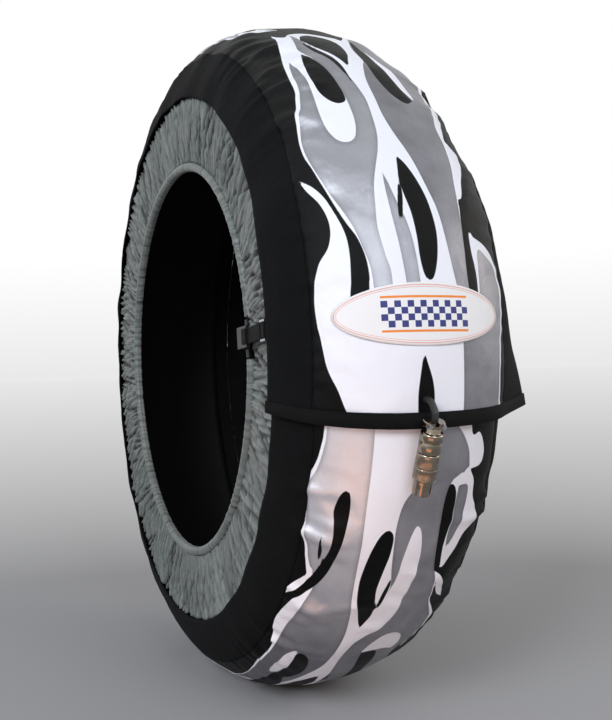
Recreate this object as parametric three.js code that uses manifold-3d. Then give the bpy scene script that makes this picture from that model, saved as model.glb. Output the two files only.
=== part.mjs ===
// Motorcycle tyre warmer for a rear wheel, wrapped as on its tyre and standing on its tread.
// Millimetres. +Z is up and Y is the wheel's axis. The origin is on the floor under the wheel's centre.
// The textile pieces are cut flat and then bent: "turn" is the angle round the wheel in degrees,
// "across" is the arc length from the tread's crown line and "height" is measured out of the outer skin.

import * as THREE from 'three';
import { mergeVertices } from 'three/addons/utils/BufferGeometryUtils.js';
import Module from 'manifold-3d';

const wasm = await Module();
wasm.setup();

// Overall form of the warmer on its tyre
const outerRadius = 320;
const sectionHalfWidth = 97;
const sectionRise = 90.7;
const sectionExponent = 2.32;
const flatSpotDepth = 5;
const angularStep = 9;
const shortestStationShare = 0.2;
const fullTurn = 360;

// Layers, each measured inwards from the outer skin
const coverThickness = 1.8;
const layerGap = 0.3;
const waddingThickness = 6;
const elementGap = 0.75;
const elementThickness = 1;
const liningThickness = 1;

// Tread cover, side panels and the flap that closes the strip
const acrossStep = 17.6;
const treadNearEdge = -88;
const treadFarEdge = 70.4;
const panelEdge = 131;
const panelThickness = 1.6;
const nearPanelCount = 3;
const farPanelCount = 4;
const seamGap = 0.35;
const startTurn = 13.5;
const flapEndTurn = -369.8;
const flapRampStart = -324;
const flapRampEnd = -342;
const tapeThickness = 1;
const wingStartTurn = -345;
const wingSlope = 36;

// Heated layers
const waddingNearEdge = -70.4;
const waddingFarEdge = 52.8;
const waddingStartTurn = 12.5;
const waddingEndTurn = -342;
const ribbonAcross = [-52.8, -17.6, 17.6];
const ribbonStartTurn = 9;
const ribbonEndTurn = -333;
const ribbonLinkWidth = 9;
const thermostatRadius = 7.5;
const thermostatHeight = 4;
const thermostatTurn = 49.5;
const thermostatAcross = -26.4;

// Hook and loop tapes under the flap
const tapeStartTurn = 9;
const tapeEndTurn = 0;
const nearTapeAcross = [-70.4, -35.2];
const farTapeAcross = [17.6, 52.8];

// Skirts, hems and elastic cords
const skirtSeamInset = 6;
const hemCentreDrop = 133;
const hemCentreInset = 10;
const hemOuterRadius = 4.2;
const hemWall = 1.2;
const hemSlitAngle = 60;
const hemSegments = 2;
const skirtThickness = 1.2;
const skirtStep = 3.6;
const pleatDepthAtSeam = 2.5;
const pleatDepthAtHem = 2;
const pleatUnevenness = 0.2;
const pleatUnevennessRate = 0.37;
const skirtStartTurn = 10.8;
const skirtEndTurn = -356.4;
const skirtOverlapRise = 2.2;
const skirtRampStart = -331.2;
const skirtRampEnd = -345.6;
const elasticRadius = 2.1;
const hemStartTurn = -1;
const hemEndTurn = -350.5;

// Binding along the flap's end
const bindingWidth = 10.5;
const bindingThickness = 1;

// Badge patch on the flap
const badgeLength = 130;
const badgeHeight = 44;
const badgeThickness = 0.8;
const badgeAcross = -9;
const badgeTurn = 4.2;
const badgeGap = 0.6;
const badgeRowCount = 6;
const badgeColumnCount = 10;

// Connector, lengths along its own axis from its top end; its ends are given as their distance out of the
// tread and their place along the turn, and its turn is counted on from the flap's end
const connectorTurnPastFlap = 3.4;
const connectorOffset = -11;
const connectorTopStandOff = 15;
const connectorTopAlong = 27;
const connectorFootStandOff = 6.9;
const connectorFootAlong = -28.3;
const clampLength = 4;
const clampRadius = 8;
const clampChamfer = 0.6;
const jawSlotWidth = 3;
const jawSlotDepth = 2.2;
const clampFlatAt = 5.6;
const screwRadius = 1;
const screwLength = 8;
const screwSpread = 5;
const screwHeadRadius = 1.7;
const screwHeadHeight = 1.2;
const neckLength = 4;
const neckRadius = 5.5;
const barrelRadius = 8.1;
const barrelLength = 15;
const barrelTopChamferWidth = 0.8;
const barrelTopChamferLength = 1;
const barrelFootChamfer = 0.5;
const threadRadius = 6.3;
const threadLength = 5;
const ringLength = 21;
const knurlTeeth = 24;
const knurlDepth = 0.5;
const shellRadius = 6.6;
const shellWall = 1.2;
const shellChamferWidth = 0.4;
const shellChamferLength = 0.5;
const shellSlotCount = 4;
const shellSlotWidth = 2.2;
const shellSlotDepth = 9;
const insertLength = 12;
const pinRadius = 0.9;
const pinCircleRadius = 2.7;
const pinCount = 3;
const pinStandOut = 7;
const metalGap = 0.3;
const leadRadius = 2.5;
const leadHoleTurnInFlap = 3.4;
const leadDepthInBody = 9;
const leadRise = 7;
const leadBendSetback = 2.4;
const leadBendAlong = 8.2;
const leadStraight = 4;
const leadSteps = 14;
const innerLeadWidth = 7;
const innerLeadThickness = 2;
const innerLeadGap = 0.4;
const innerLeadEndTurnInFlap = 2.2;
const riserTurnPastStart = 0.7;
const riserThickness = 1.2;

// Cord clips, their straps and slides, the same on both sides
const clipTurn = 4;
const clipLength = 30;
const clipPlateStandOff = 9.75;
const clipPlateThickness = 2.5;
const clipPlateWidth = 17;
const clipPlateLength = 19.9;
const clipPlateOverhang = 2.5;
const clipBarWidth = 4.8;
const clipNeckWidth = 5;
const clipWall = 1.4;
const clipBoreRadius = 3.2;
const clipMouth = 2.6;
const strapWidth = 12;
const strapThickness = 1.3;
const strapGap = 0.3;
const slideLength = 9;
const slideSeamGap = 1.779833;
const slideStandOff = 8;
const slideBar = 1.6;
const slideWidth = 16;
const anchorBendReach = 4;
const anchorBendDrop = 1.8;
const anchorEndReach = 15;
const anchorEndDrop = 4.6;

// Round segments of the turned and extruded pieces
const turnedSegments = 16;
const screwSegments = 10;
const pinSegments = 8;
const leadSegments = 4;
const ringSegments = 10;
const clipSegments = 6;
const elasticSegments = 5;

// Values worked out from the sizes above
const centreHeight = outerRadius - flatSpotDepth;
const sectionCentreRadius = outerRadius - sectionRise;
const halfStep = THREE.MathUtils.degToRad(angularStep / 2);
const flapLift = coverThickness + 2 * tapeThickness + 3 * layerGap;
const waddingTop = -coverThickness - layerGap;
const waddingBottom = waddingTop - waddingThickness;
const elementTop = waddingBottom - elementGap;
const elementBottom = elementTop - elementThickness;
const liningTop = elementBottom - layerGap;
const liningBottom = liningTop - liningThickness;
const skirtSeamOffset = sectionHalfWidth - skirtSeamInset;
const hemCentreOffset = sectionHalfWidth - hemCentreInset;
const hemCentreRadius = outerRadius - hemCentreDrop;
const degreesOfArc = (length) => THREE.MathUtils.radToDeg(length / outerRadius);
const flapEndOnStart = flapEndTurn + fullTurn;
const connectorTurn = flapEndOnStart - connectorTurnPastFlap;
const leadHoleTurn = flapEndOnStart + leadHoleTurnInFlap;
const innerLeadEndTurn = flapEndOnStart + innerLeadEndTurnInFlap;
const riserTurn = startTurn + riserTurnPastStart;

function material(color, roughness, metalness) {
  return new THREE.MeshStandardMaterial({ color, roughness, metalness });
}

const finishes = {
  printedSatin: material(0xc9c9cc, 0.55, 0.0),
  blackTwill: material(0x141416, 0.9, 0.0),
  greyFabric: material(0x6f7371, 0.85, 0.0),
  blackLining: material(0x0b0b0c, 0.95, 0.0),
  wadding: material(0xe4e1d6, 1.0, 0.0),
  carbonRibbon: material(0x2a2a2e, 0.6, 0.2),
  blackTape: material(0x101012, 0.9, 0.0),
  badge: material(0xf1f0ee, 0.5, 0.0),
  nickel: material(0xcfc7bb, 0.25, 1.0),
  steel: material(0xb9bcc0, 0.3, 1.0),
  brass: material(0xc9a23a, 0.35, 1.0),
  blackPlastic: material(0x17171a, 0.45, 0.0),
  blackRubber: material(0x121213, 0.8, 0.0),
};

// A closed body with shared corners merged and its faces pointing out
function closedBody(source) {
  const bare = source.clone();
  bare.deleteAttribute('normal');
  bare.deleteAttribute('uv');
  const body = mergeVertices(bare, 1e-4);
  const position = body.attributes.position;
  const order = body.index.array;
  const a = new THREE.Vector3();
  const b = new THREE.Vector3();
  const c = new THREE.Vector3();
  let volume = 0;
  for (let i = 0; i < order.length; i += 3) {
    a.fromBufferAttribute(position, order[i]);
    b.fromBufferAttribute(position, order[i + 1]);
    c.fromBufferAttribute(position, order[i + 2]);
    volume += a.dot(b.cross(c));
  }
  if (volume < 0) {
    for (let i = 0; i < order.length; i += 3) {
      const second = order[i + 1];
      order[i + 1] = order[i + 2];
      order[i + 2] = second;
    }
  }
  return body;
}

function toManifold(geometry) {
  const body = closedBody(geometry);
  const mesh = new wasm.Mesh({
    numProp: 3,
    vertProperties: new Float32Array(body.attributes.position.array),
    triVerts: new Uint32Array(body.index.array),
  });
  return new wasm.Manifold(mesh);
}

function fromManifold(solid) {
  const mesh = solid.getMesh();
  const geometry = new THREE.BufferGeometry();
  geometry.setAttribute('position', new THREE.BufferAttribute(mesh.vertProperties, 3));
  geometry.setIndex(new THREE.BufferAttribute(mesh.triVerts, 1));
  return geometry;
}

function joined(...geometries) {
  return fromManifold(geometries.map(toManifold).reduce((sum, next) => sum.add(next)));
}

function cut(geometry, ...cutters) {
  return fromManifold(cutters.map(toManifold).reduce((rest, next) => rest.subtract(next), toManifold(geometry)));
}

// Cross-section of the warmer: a rounded outline whose height over the tyre's middle and half width
// follow a superellipse. The table gives the outline's parameter at each arc length from the crown.
function outlinePoint(parameter, height) {
  const power = 2 / sectionExponent;
  const rise = Math.sign(Math.cos(parameter)) * Math.abs(Math.cos(parameter)) ** power;
  const width = Math.abs(Math.sin(parameter)) ** power;
  return {
    radius: sectionCentreRadius + (sectionRise + height) * rise,
    offset: (sectionHalfWidth + height) * width,
  };
}

function arcTable() {
  const samples = 4000;
  const table = [];
  let arc = 0;
  let last = outlinePoint(0, 0);
  for (let i = 0; i <= samples; i += 1) {
    const parameter = (i / samples) * THREE.MathUtils.degToRad(100);
    const next = outlinePoint(parameter, 0);
    arc += Math.hypot(next.radius - last.radius, next.offset - last.offset);
    table.push({ arc, parameter });
    last = next;
  }
  return table;
}

const outlineTable = arcTable();

function outlineParameter(across) {
  const arc = Math.abs(across);
  const upper = outlineTable.findIndex((entry) => entry.arc >= arc);
  if (upper <= 0) {
    return 0;
  }
  const from = outlineTable[upper - 1];
  const to = outlineTable[upper];
  return from.parameter + ((to.parameter - from.parameter) * (arc - from.arc)) / (to.arc - from.arc);
}

function sectionPoint(across, height) {
  const point = outlinePoint(outlineParameter(across), height);
  return new THREE.Vector2(point.radius, Math.sign(across) * point.offset);
}

function ramp(value, from, to) {
  return THREE.MathUtils.clamp((value - from) / (to - from), 0, 1);
}

// The flap rises over the strip's start, and its far wing stands off the shoulder in a straight line
function liftAt(turn) {
  return flapLift * THREE.MathUtils.smoothstep(ramp(turn, flapRampStart, flapRampEnd), 0, 1);
}

function wingedPoint(turn, across, height) {
  const wrapped = sectionPoint(across, height);
  const share = ramp(turn, wingStartTurn, flapEndTurn);
  if (across <= treadFarEdge || share === 0) {
    return wrapped;
  }
  const slope = THREE.MathUtils.degToRad(wingSlope);
  const root = sectionPoint(treadFarEdge, height);
  const reach = across - treadFarEdge;
  const straight = new THREE.Vector2(-Math.sin(slope), Math.cos(slope)).multiplyScalar(reach).add(root);
  return wrapped.lerp(straight, share);
}

function aroundWheel(turn, radius, offset, floor = 0) {
  const angle = THREE.MathUtils.degToRad(turn);
  const z = centreHeight + radius * Math.sin(angle);
  return new THREE.Vector3(radius * Math.cos(angle), offset, Math.max(z, floor));
}

// A point of the strip; where the strip stands on the floor each layer is pressed flat
function onStrip(turn, across, height) {
  const point = wingedPoint(turn, across, height + liftAt(turn));
  return aroundWheel(turn, point.x, point.y, Math.max(-height, 0));
}

function turnStations(from, to, step) {
  const stations = [from];
  for (let turn = Math.ceil(from / step - 1) * step; turn > to + shortestStationShare * step; turn -= step) {
    stations.push(turn);
  }
  stations.push(to);
  return stations;
}

// Bends a flat sheet: every corner of a subdivided slab is placed by its station along, across and through.
// Both faces are split along the same diagonals, so that nested layers keep their gap.
function bentSheet(turns, acrossFrom, acrossTo, acrossCount, bottom, top, place = onStrip) {
  const slab = new THREE.BoxGeometry(1, 1, 1, turns.length - 1, acrossCount, 1);
  const position = slab.attributes.position;
  for (let i = 0; i < position.count; i += 1) {
    const station = Math.round((position.getX(i) + 0.5) * (turns.length - 1));
    const share = Math.round((position.getY(i) + 0.5) * acrossCount) / acrossCount;
    const across = THREE.MathUtils.lerp(acrossFrom, acrossTo, share);
    const height = position.getZ(i) > 0 ? top : bottom;
    const placed = place(turns[station], across, height);
    position.setXYZ(i, placed.x, placed.y, placed.z);
  }
  const underside = slab.groups[5];
  const order = slab.index.array;
  for (let i = underside.start; i < underside.start + underside.count; i += 6) {
    const [first, second, fourth, , third] = order.slice(i, i + 5);
    order.set([first, second, third, first, third, fourth], i);
  }
  return closedBody(slab);
}

const warmer = new THREE.Group();
warmer.name = 'tyre_warmer';

function add(name, geometry, finish, parent = warmer) {
  const mesh = new THREE.Mesh(geometry, finish);
  mesh.name = name;
  parent.add(mesh);
  return mesh;
}

// Local frame on the wheel: X points out of the wheel, Y along its axis and Z along the turn
function wheelFrame(turn) {
  const frame = new THREE.Group();
  frame.position.set(0, 0, centreHeight);
  frame.rotation.y = -THREE.MathUtils.degToRad(turn);
  return frame;
}

function frameMatrix(frame) {
  frame.updateMatrixWorld(true);
  return frame.matrixWorld.clone();
}

// Lead hole through the flap, shared with the lead's outer end
const leadSection = sectionPoint(connectorOffset, 0);
function leadHole() {
  const radius = leadRadius + layerGap;
  const drill = new THREE.CylinderGeometry(radius, radius, 8 * coverThickness, turnedSegments);
  drill.rotateZ(Math.PI / 2);
  drill.translate(leadSection.x + flapLift, leadSection.y, 0);
  return drill.applyMatrix4(frameMatrix(wheelFrame(leadHoleTurn)));
}

// Outer strip: printed tread cover with its flap, and the side panels
const bindingTurn = flapEndTurn + degreesOfArc(bindingWidth);
const overStartTurn = startTurn - fullTurn;
const stripTurns = [
  ...turnStations(startTurn, overStartTurn, angularStep),
  ...turnStations(overStartTurn, bindingTurn, angularStep).slice(1),
  flapEndTurn,
];
const treadCount = Math.round((treadFarEdge - treadNearEdge) / acrossStep);
const treadSheet = bentSheet(stripTurns, treadNearEdge, treadFarEdge, treadCount, -coverThickness, 0);
add('tread_cover', cut(treadSheet, leadHole()), finishes.printedSatin);
const nearPanel = bentSheet(stripTurns, -panelEdge, treadNearEdge - seamGap, nearPanelCount, -panelThickness, 0);
add('near_side_panel', nearPanel, finishes.blackTwill);
const farPanel = bentSheet(stripTurns, treadFarEdge + seamGap, panelEdge, farPanelCount, -panelThickness, 0);
add('far_side_panel', farPanel, finishes.blackTwill);

// Wadding with a pocket for the thermostat
const heatedTurns = turnStations(waddingStartTurn, waddingEndTurn, angularStep);
const waddingCount = Math.round((waddingFarEdge - waddingNearEdge) / acrossStep);
function flatLayer(turns, bottom, top) {
  return bentSheet(turns, waddingNearEdge, waddingFarEdge, waddingCount, bottom, top, onTyre);
}

// The heated layers stay on the tyre where the flap rises off them
function onTyre(turn, across, height) {
  const point = sectionPoint(across, height);
  return aroundWheel(turn, point.x, point.y, Math.max(-height, 0));
}

function disc(radius, bottom, top, segments) {
  const half = [new THREE.Vector2(0, bottom), new THREE.Vector2(radius, bottom)];
  half.push(new THREE.Vector2(radius, top), new THREE.Vector2(0, top));
  return new THREE.LatheGeometry(half, segments);
}

// Turns a disc's axis out of the strip's surface at the thermostat
function atThermostat(geometry) {
  const inner = onTyre(thermostatTurn, thermostatAcross, liningTop);
  const outer = onTyre(thermostatTurn, thermostatAcross, 0);
  const axis = outer.sub(inner).normalize();
  const turnTo = new THREE.Quaternion().setFromUnitVectors(new THREE.Vector3(0, 1, 0), axis);
  return geometry.applyQuaternion(turnTo).translate(inner.x, inner.y, inner.z);
}

const pocketDepth = thermostatHeight + 2 * layerGap;
const pocket = atThermostat(disc(thermostatRadius + layerGap, -coverThickness, pocketDepth, turnedSegments));
add('wadding', cut(flatLayer(heatedTurns, waddingBottom, waddingTop), pocket), finishes.wadding);
const thermostat = atThermostat(disc(thermostatRadius, layerGap, thermostatHeight, turnedSegments));
add('thermostat', closedBody(thermostat), finishes.steel);
add('inner_lining', flatLayer(heatedTurns, liningBottom, liningTop), finishes.blackLining);

// Heating element: three ribbons, each one cutting step wide, joined end to end, and a tab for the lead
const ribbonTurns = turnStations(ribbonStartTurn, ribbonEndTurn, angularStep);
const linkTurn = degreesOfArc(ribbonLinkWidth);
function ribbon(turns, from, to) {
  return bentSheet(turns, from, to, Math.round((to - from) / acrossStep), elementBottom, elementTop, onTyre);
}
const runs = ribbonAcross.map((across) => ribbon(ribbonTurns, across, across + acrossStep));
const startTurns = [ribbonStartTurn, ribbonStartTurn - linkTurn];
const endTurns = [ribbonEndTurn + linkTurn, ribbonEndTurn];
const startLink = ribbon(startTurns, ribbonAcross[0], ribbonAcross[1] + acrossStep);
const endLink = ribbon(endTurns, ribbonAcross[1], ribbonAcross[2] + acrossStep);
const leadAcross = [connectorOffset - innerLeadWidth / 2, connectorOffset + innerLeadWidth / 2];
const tailTurns = [riserTurn, waddingStartTurn, ribbonStartTurn, ribbonStartTurn - linkTurn];
const tail = bentSheet(tailTurns, ...leadAcross, 1, elementBottom, elementTop, onTyre);
const riserDegrees = degreesOfArc(riserThickness);
const leadTop = innerLeadGap + innerLeadThickness;
const riser = bentSheet([riserTurn, riserTurn - riserDegrees], ...leadAcross, 1, elementBottom, leadTop, onTyre);
add('heating_element', joined(...runs, startLink, endLink, tail, riser), finishes.carbonRibbon);

// Flat inner lead between the flap and the strip's start
const leadGapDegrees = degreesOfArc(layerGap);
const leadTurns = turnStations(riserTurn - riserDegrees - leadGapDegrees, innerLeadEndTurn, angularStep);
const innerLead = bentSheet(leadTurns, ...leadAcross, 1, innerLeadGap, leadTop, onTyre);
add('inner_lead', innerLead, finishes.blackRubber);

// Hook and loop tapes that hold the flap down
function tapePair(side, [from, to]) {
  const count = Math.round((to - from) / acrossStep);
  const turns = turnStations(tapeStartTurn, tapeEndTurn, angularStep);
  const loopBottom = layerGap;
  const loopTop = loopBottom + tapeThickness;
  const hookBottom = loopTop + layerGap;
  const loop = bentSheet(turns, from, to, count, loopBottom, loopTop);
  const hook = bentSheet(turns, from, to, count, hookBottom, hookBottom + tapeThickness);
  add(`${side}_loop_tape`, loop, finishes.blackTape);
  add(`${side}_hook_tape`, hook, finishes.blackTape);
}
tapePair('near', nearTapeAcross);
tapePair('far', farTapeAcross);

// Gathered skirts: each pleat is one fold out and one fold in, deeper at the seam than at the hem
const seamRadius = sectionPoint(panelEdge, 0).x * Math.cos(halfStep) - layerGap;
const skirtHemRadius = hemCentreRadius + hemOuterRadius + layerGap;
function skirtPlace(side) {
  return (turn, share, through) => {
    const fold = Math.round(turn / skirtStep) % 2 === 0 ? 1 : -1;
    const unevenness = 1 - pleatUnevenness + pleatUnevenness * Math.sin(pleatUnevennessRate * turn);
    const depth = THREE.MathUtils.lerp(pleatDepthAtSeam, pleatDepthAtHem, share) * unevenness;
    const rise = skirtOverlapRise * ramp(turn, skirtRampStart, skirtRampEnd);
    const base = THREE.MathUtils.lerp(skirtSeamOffset, hemCentreOffset, share);
    const radius = THREE.MathUtils.lerp(seamRadius, skirtHemRadius, share);
    return aroundWheel(turn, radius, side * (base + fold * depth + rise + through));
  };
}

// The hem is a channel round the elastic cord, open on the side where the skirt is sewn in
function hemChannel(side) {
  const slit = THREE.MathUtils.degToRad(hemSlitAngle / 2);
  const outline = new THREE.Shape();
  outline.absarc(0, 0, hemOuterRadius, slit, 2 * Math.PI - slit, false);
  outline.absarc(0, 0, hemOuterRadius - hemWall, 2 * Math.PI - slit, slit, true);
  outline.closePath();
  const turns = turnStations(hemStartTurn, hemEndTurn, angularStep);
  const steps = turns.length - 1;
  const extrusion = { depth: steps, steps, bevelEnabled: false, curveSegments: hemSegments };
  const channel = new THREE.ExtrudeGeometry(outline, extrusion);
  const position = channel.attributes.position;
  for (let i = 0; i < position.count; i += 1) {
    const radius = hemCentreRadius + position.getX(i);
    const offset = side * (hemCentreOffset + position.getY(i));
    const placed = aroundWheel(turns[Math.round(position.getZ(i))], radius, offset);
    position.setXYZ(i, placed.x, placed.y, placed.z);
  }
  return closedBody(channel);
}

// The elastic cord is one ring, turned round the wheel's axis
function elasticRing(side) {
  const section = new THREE.EllipseCurve(hemCentreRadius, 0, elasticRadius, elasticRadius);
  const turnsPerRing = Math.round(fullTurn / angularStep);
  const ring = new THREE.LatheGeometry(section.getPoints(elasticSegments), turnsPerRing);
  ring.translate(0, side * hemCentreOffset, 0);
  const stationShift = Math.PI / 2;
  return closedBody(ring.rotateY(stationShift).translate(0, 0, centreHeight));
}

const skirtTurns = turnStations(skirtStartTurn, skirtEndTurn, skirtStep);
const sides = { near: -1, far: 1 };
for (const [name, side] of Object.entries(sides)) {
  const skirt = bentSheet(skirtTurns, 0, 1, 2, -skirtThickness / 2, skirtThickness / 2, skirtPlace(side));
  add(`${name}_skirt`, skirt, finishes.greyFabric);
  add(`${name}_hem`, hemChannel(side), finishes.greyFabric);
  add(`${name}_elastic_cord`, elasticRing(side), finishes.blackRubber);
}

// Binding folded over the flap's end, from the near panel's edge to the far wing's tip
function stationsAcross(from, to, count) {
  return Array.from({ length: count }, (_, i) => THREE.MathUtils.lerp(from, to, i / count));
}
const bindingStations = [
  ...stationsAcross(-panelEdge, treadNearEdge, nearPanelCount),
  ...stationsAcross(treadNearEdge, treadFarEdge, treadCount),
  ...stationsAcross(treadFarEdge, panelEdge, farPanelCount),
  panelEdge,
];
function foldedBinding() {
  const clear = layerGap;
  const outer = layerGap + bindingThickness;
  const profile = [
    [bindingWidth, clear], [bindingWidth, outer],
    [-outer, outer], [-outer, -coverThickness - outer],
    [bindingWidth, -coverThickness - outer], [bindingWidth, -coverThickness - clear],
    [-clear, -coverThickness - clear], [-clear, clear],
  ];
  const shape = new THREE.Shape(profile.map(([along, height]) => new THREE.Vector2(along, height)));
  const steps = bindingStations.length - 1;
  const fold = new THREE.ExtrudeGeometry(shape, { depth: steps, steps, bevelEnabled: false });
  const position = fold.attributes.position;
  for (let i = 0; i < position.count; i += 1) {
    const turn = flapEndTurn + degreesOfArc(position.getX(i));
    const placed = onStrip(turn, bindingStations[Math.round(position.getZ(i))], position.getY(i));
    position.setXYZ(i, placed.x, placed.y, placed.z);
  }
  return closedBody(fold);
}
add('flap_binding', foldedBinding(), finishes.blackTwill);

// Badge: an oval patch laid on the flap, spread from a square grid
function badgePlace(up, side, height) {
  const across = badgeAcross + side * Math.sqrt(1 - (up * up) / 2) * (badgeLength / 2);
  const rise = up * Math.sqrt(1 - (side * side) / 2) * (badgeHeight / 2);
  return onStrip(badgeTurn - fullTurn + degreesOfArc(rise), across, height);
}
const badgeRows = Array.from({ length: badgeRowCount + 1 }, (_, i) => 1 - (2 * i) / badgeRowCount);
const badgeTop = badgeGap + badgeThickness;
add('badge', bentSheet(badgeRows, -1, 1, badgeColumnCount, badgeGap, badgeTop, badgePlace), finishes.badge);

// Connector: pieces turned about its own axis, which leans from the binding down to the tread
const connectorFrame = wheelFrame(connectorTurn);
warmer.add(connectorFrame);
const connectorTop = new THREE.Vector2(outerRadius + connectorTopStandOff, connectorTopAlong);
const connectorFoot = new THREE.Vector2(outerRadius + connectorFootStandOff, connectorFootAlong);
const connector = new THREE.Group();
const connectorAxis = new THREE.Vector3(
  connectorFoot.x - connectorTop.x,
  0,
  connectorFoot.y - connectorTop.y,
).normalize();
connector.position.set(connectorTop.x, connectorOffset, connectorTop.y);
connector.quaternion.setFromUnitVectors(new THREE.Vector3(0, -1, 0), connectorAxis);
connectorFrame.add(connector);

function turned(outline, segments = turnedSegments) {
  const profile = outline.map(([radius, down]) => new THREE.Vector2(radius, -down));
  return closedBody(new THREE.LatheGeometry(profile, segments));
}

function block(sizeX, sizeY, sizeZ, x = 0, y = 0, z = 0) {
  return new THREE.BoxGeometry(sizeX, sizeY, sizeZ).translate(x, y, z);
}

const boreRadius = leadRadius + layerGap;
const bodyTop = clampLength + metalGap;
const barrelTop = bodyTop + neckLength;
const barrelFoot = barrelTop + barrelLength;
const threadFoot = barrelFoot + threadLength;
const ringTop = barrelFoot + metalGap;
const ringFoot = ringTop + ringLength;
const shellTop = threadFoot + metalGap;
const shellFoot = connectorTop.distanceTo(connectorFoot);
const shellInner = shellRadius - shellWall;

const clampRing = turned([
  [boreRadius, 0], [clampRadius - clampChamfer, 0], [clampRadius, clampChamfer],
  [clampRadius, clampLength - clampChamfer], [clampRadius - clampChamfer, clampLength],
  [boreRadius, clampLength], [boreRadius, 0],
]);
const jawSlot = block(4 * clampRadius, jawSlotDepth, jawSlotWidth, 0, -jawSlotDepth / 2);
const clampFlat = block(clampRadius, 2 * clampLength, 4 * clampRadius, clampFlatAt + clampRadius / 2, -clampLength / 2);
function clampScrewHole(side) {
  const radius = screwRadius + metalGap;
  const hole = new THREE.CylinderGeometry(radius, radius, 2 * screwLength, screwSegments);
  return hole.rotateZ(Math.PI / 2).translate(clampFlatAt, -clampLength / 2, side * screwSpread);
}
const clamp = cut(clampRing, jawSlot, clampFlat, clampScrewHole(-1), clampScrewHole(1));
add('connector_clamp', clamp, finishes.nickel, connector);
[-1, 1].forEach((side, index) => {
  const headFoot = metalGap;
  const screw = turned([
    [0, screwLength], [screwRadius, screwLength], [screwRadius, -headFoot], [screwHeadRadius, -headFoot],
    [screwHeadRadius, -headFoot - screwHeadHeight], [0, -headFoot - screwHeadHeight],
  ], screwSegments);
  screw.rotateZ(-Math.PI / 2);
  const mesh = add(`clamp_screw_${index + 1}`, screw, finishes.steel, connector);
  mesh.position.set(clampFlatAt, -clampLength / 2, side * screwSpread);
});

add('connector_body', turned([
  [0, bodyTop + leadDepthInBody], [boreRadius, bodyTop + leadDepthInBody], [boreRadius, bodyTop],
  [neckRadius, bodyTop], [neckRadius, barrelTop],
  [barrelRadius - barrelTopChamferWidth, barrelTop], [barrelRadius, barrelTop + barrelTopChamferLength],
  [barrelRadius, barrelFoot - barrelFootChamfer], [barrelRadius - barrelFootChamfer, barrelFoot],
  [threadRadius, barrelFoot], [threadRadius, threadFoot], [0, threadFoot],
]), finishes.nickel, connector);

// Knurled coupling ring: a toothed outline with a round hole
function couplingRing() {
  const outline = new THREE.Shape();
  for (let i = 0; i < 2 * knurlTeeth; i += 1) {
    const radius = barrelRadius - (i % 2) * knurlDepth;
    const angle = (i * Math.PI) / knurlTeeth;
    const move = i === 0 ? 'moveTo' : 'lineTo';
    outline[move](radius * Math.cos(angle), radius * Math.sin(angle));
  }
  outline.closePath();
  outline.holes.push(new THREE.Path().absarc(0, 0, shellRadius + metalGap, 0, 2 * Math.PI, true));
  const extrusion = { depth: ringLength, bevelEnabled: false, curveSegments: ringSegments };
  const ring = new THREE.ExtrudeGeometry(outline, extrusion);
  return closedBody(ring.rotateX(Math.PI / 2).translate(0, -ringTop, 0));
}
add('coupling_ring', couplingRing(), finishes.nickel, connector);

const shellTube = turned([
  [shellInner, shellTop], [shellRadius, shellTop], [shellRadius, shellFoot - shellChamferLength],
  [shellRadius - shellChamferWidth, shellFoot], [shellInner, shellFoot], [shellInner, shellTop],
]);
const shellSlots = Array.from({ length: shellSlotCount / 2 }, (_, i) => {
  const slot = block(4 * shellRadius, 2 * shellSlotDepth, shellSlotWidth);
  return slot.rotateY(Math.PI / 4 + (2 * Math.PI * i) / shellSlotCount).translate(0, -shellFoot, 0);
});
add('mating_shell', cut(shellTube, ...shellSlots), finishes.nickel, connector);

const insertTop = shellTop + metalGap;
const insertFoot = insertTop + insertLength;
const pinFoot = insertFoot + pinStandOut;
const pinPlaces = Array.from({ length: pinCount }, (_, i) => {
  const angle = (2 * Math.PI * i) / pinCount;
  return [pinCircleRadius * Math.cos(angle), pinCircleRadius * Math.sin(angle)];
});
const insertBlank = turned([
  [0, insertTop], [shellInner - metalGap, insertTop], [shellInner - metalGap, insertFoot], [0, insertFoot],
]);
const pinHoles = pinPlaces.map(([x, z]) => {
  const radius = pinRadius + metalGap;
  const hole = new THREE.CylinderGeometry(radius, radius, 4 * insertLength, pinSegments);
  return hole.translate(x, -insertFoot, z);
});
add('contact_insert', cut(insertBlank, ...pinHoles), finishes.blackPlastic, connector);
pinPlaces.forEach(([x, z], index) => {
  const pin = turned([
    [0, insertTop], [pinRadius, insertTop], [pinRadius, pinFoot - pinRadius], [pinRadius / 2, pinFoot], [0, pinFoot],
  ], pinSegments);
  const mesh = add(`contact_pin_${index + 1}`, pin, finishes.brass, connector);
  mesh.position.set(x, 0, z);
});

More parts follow.
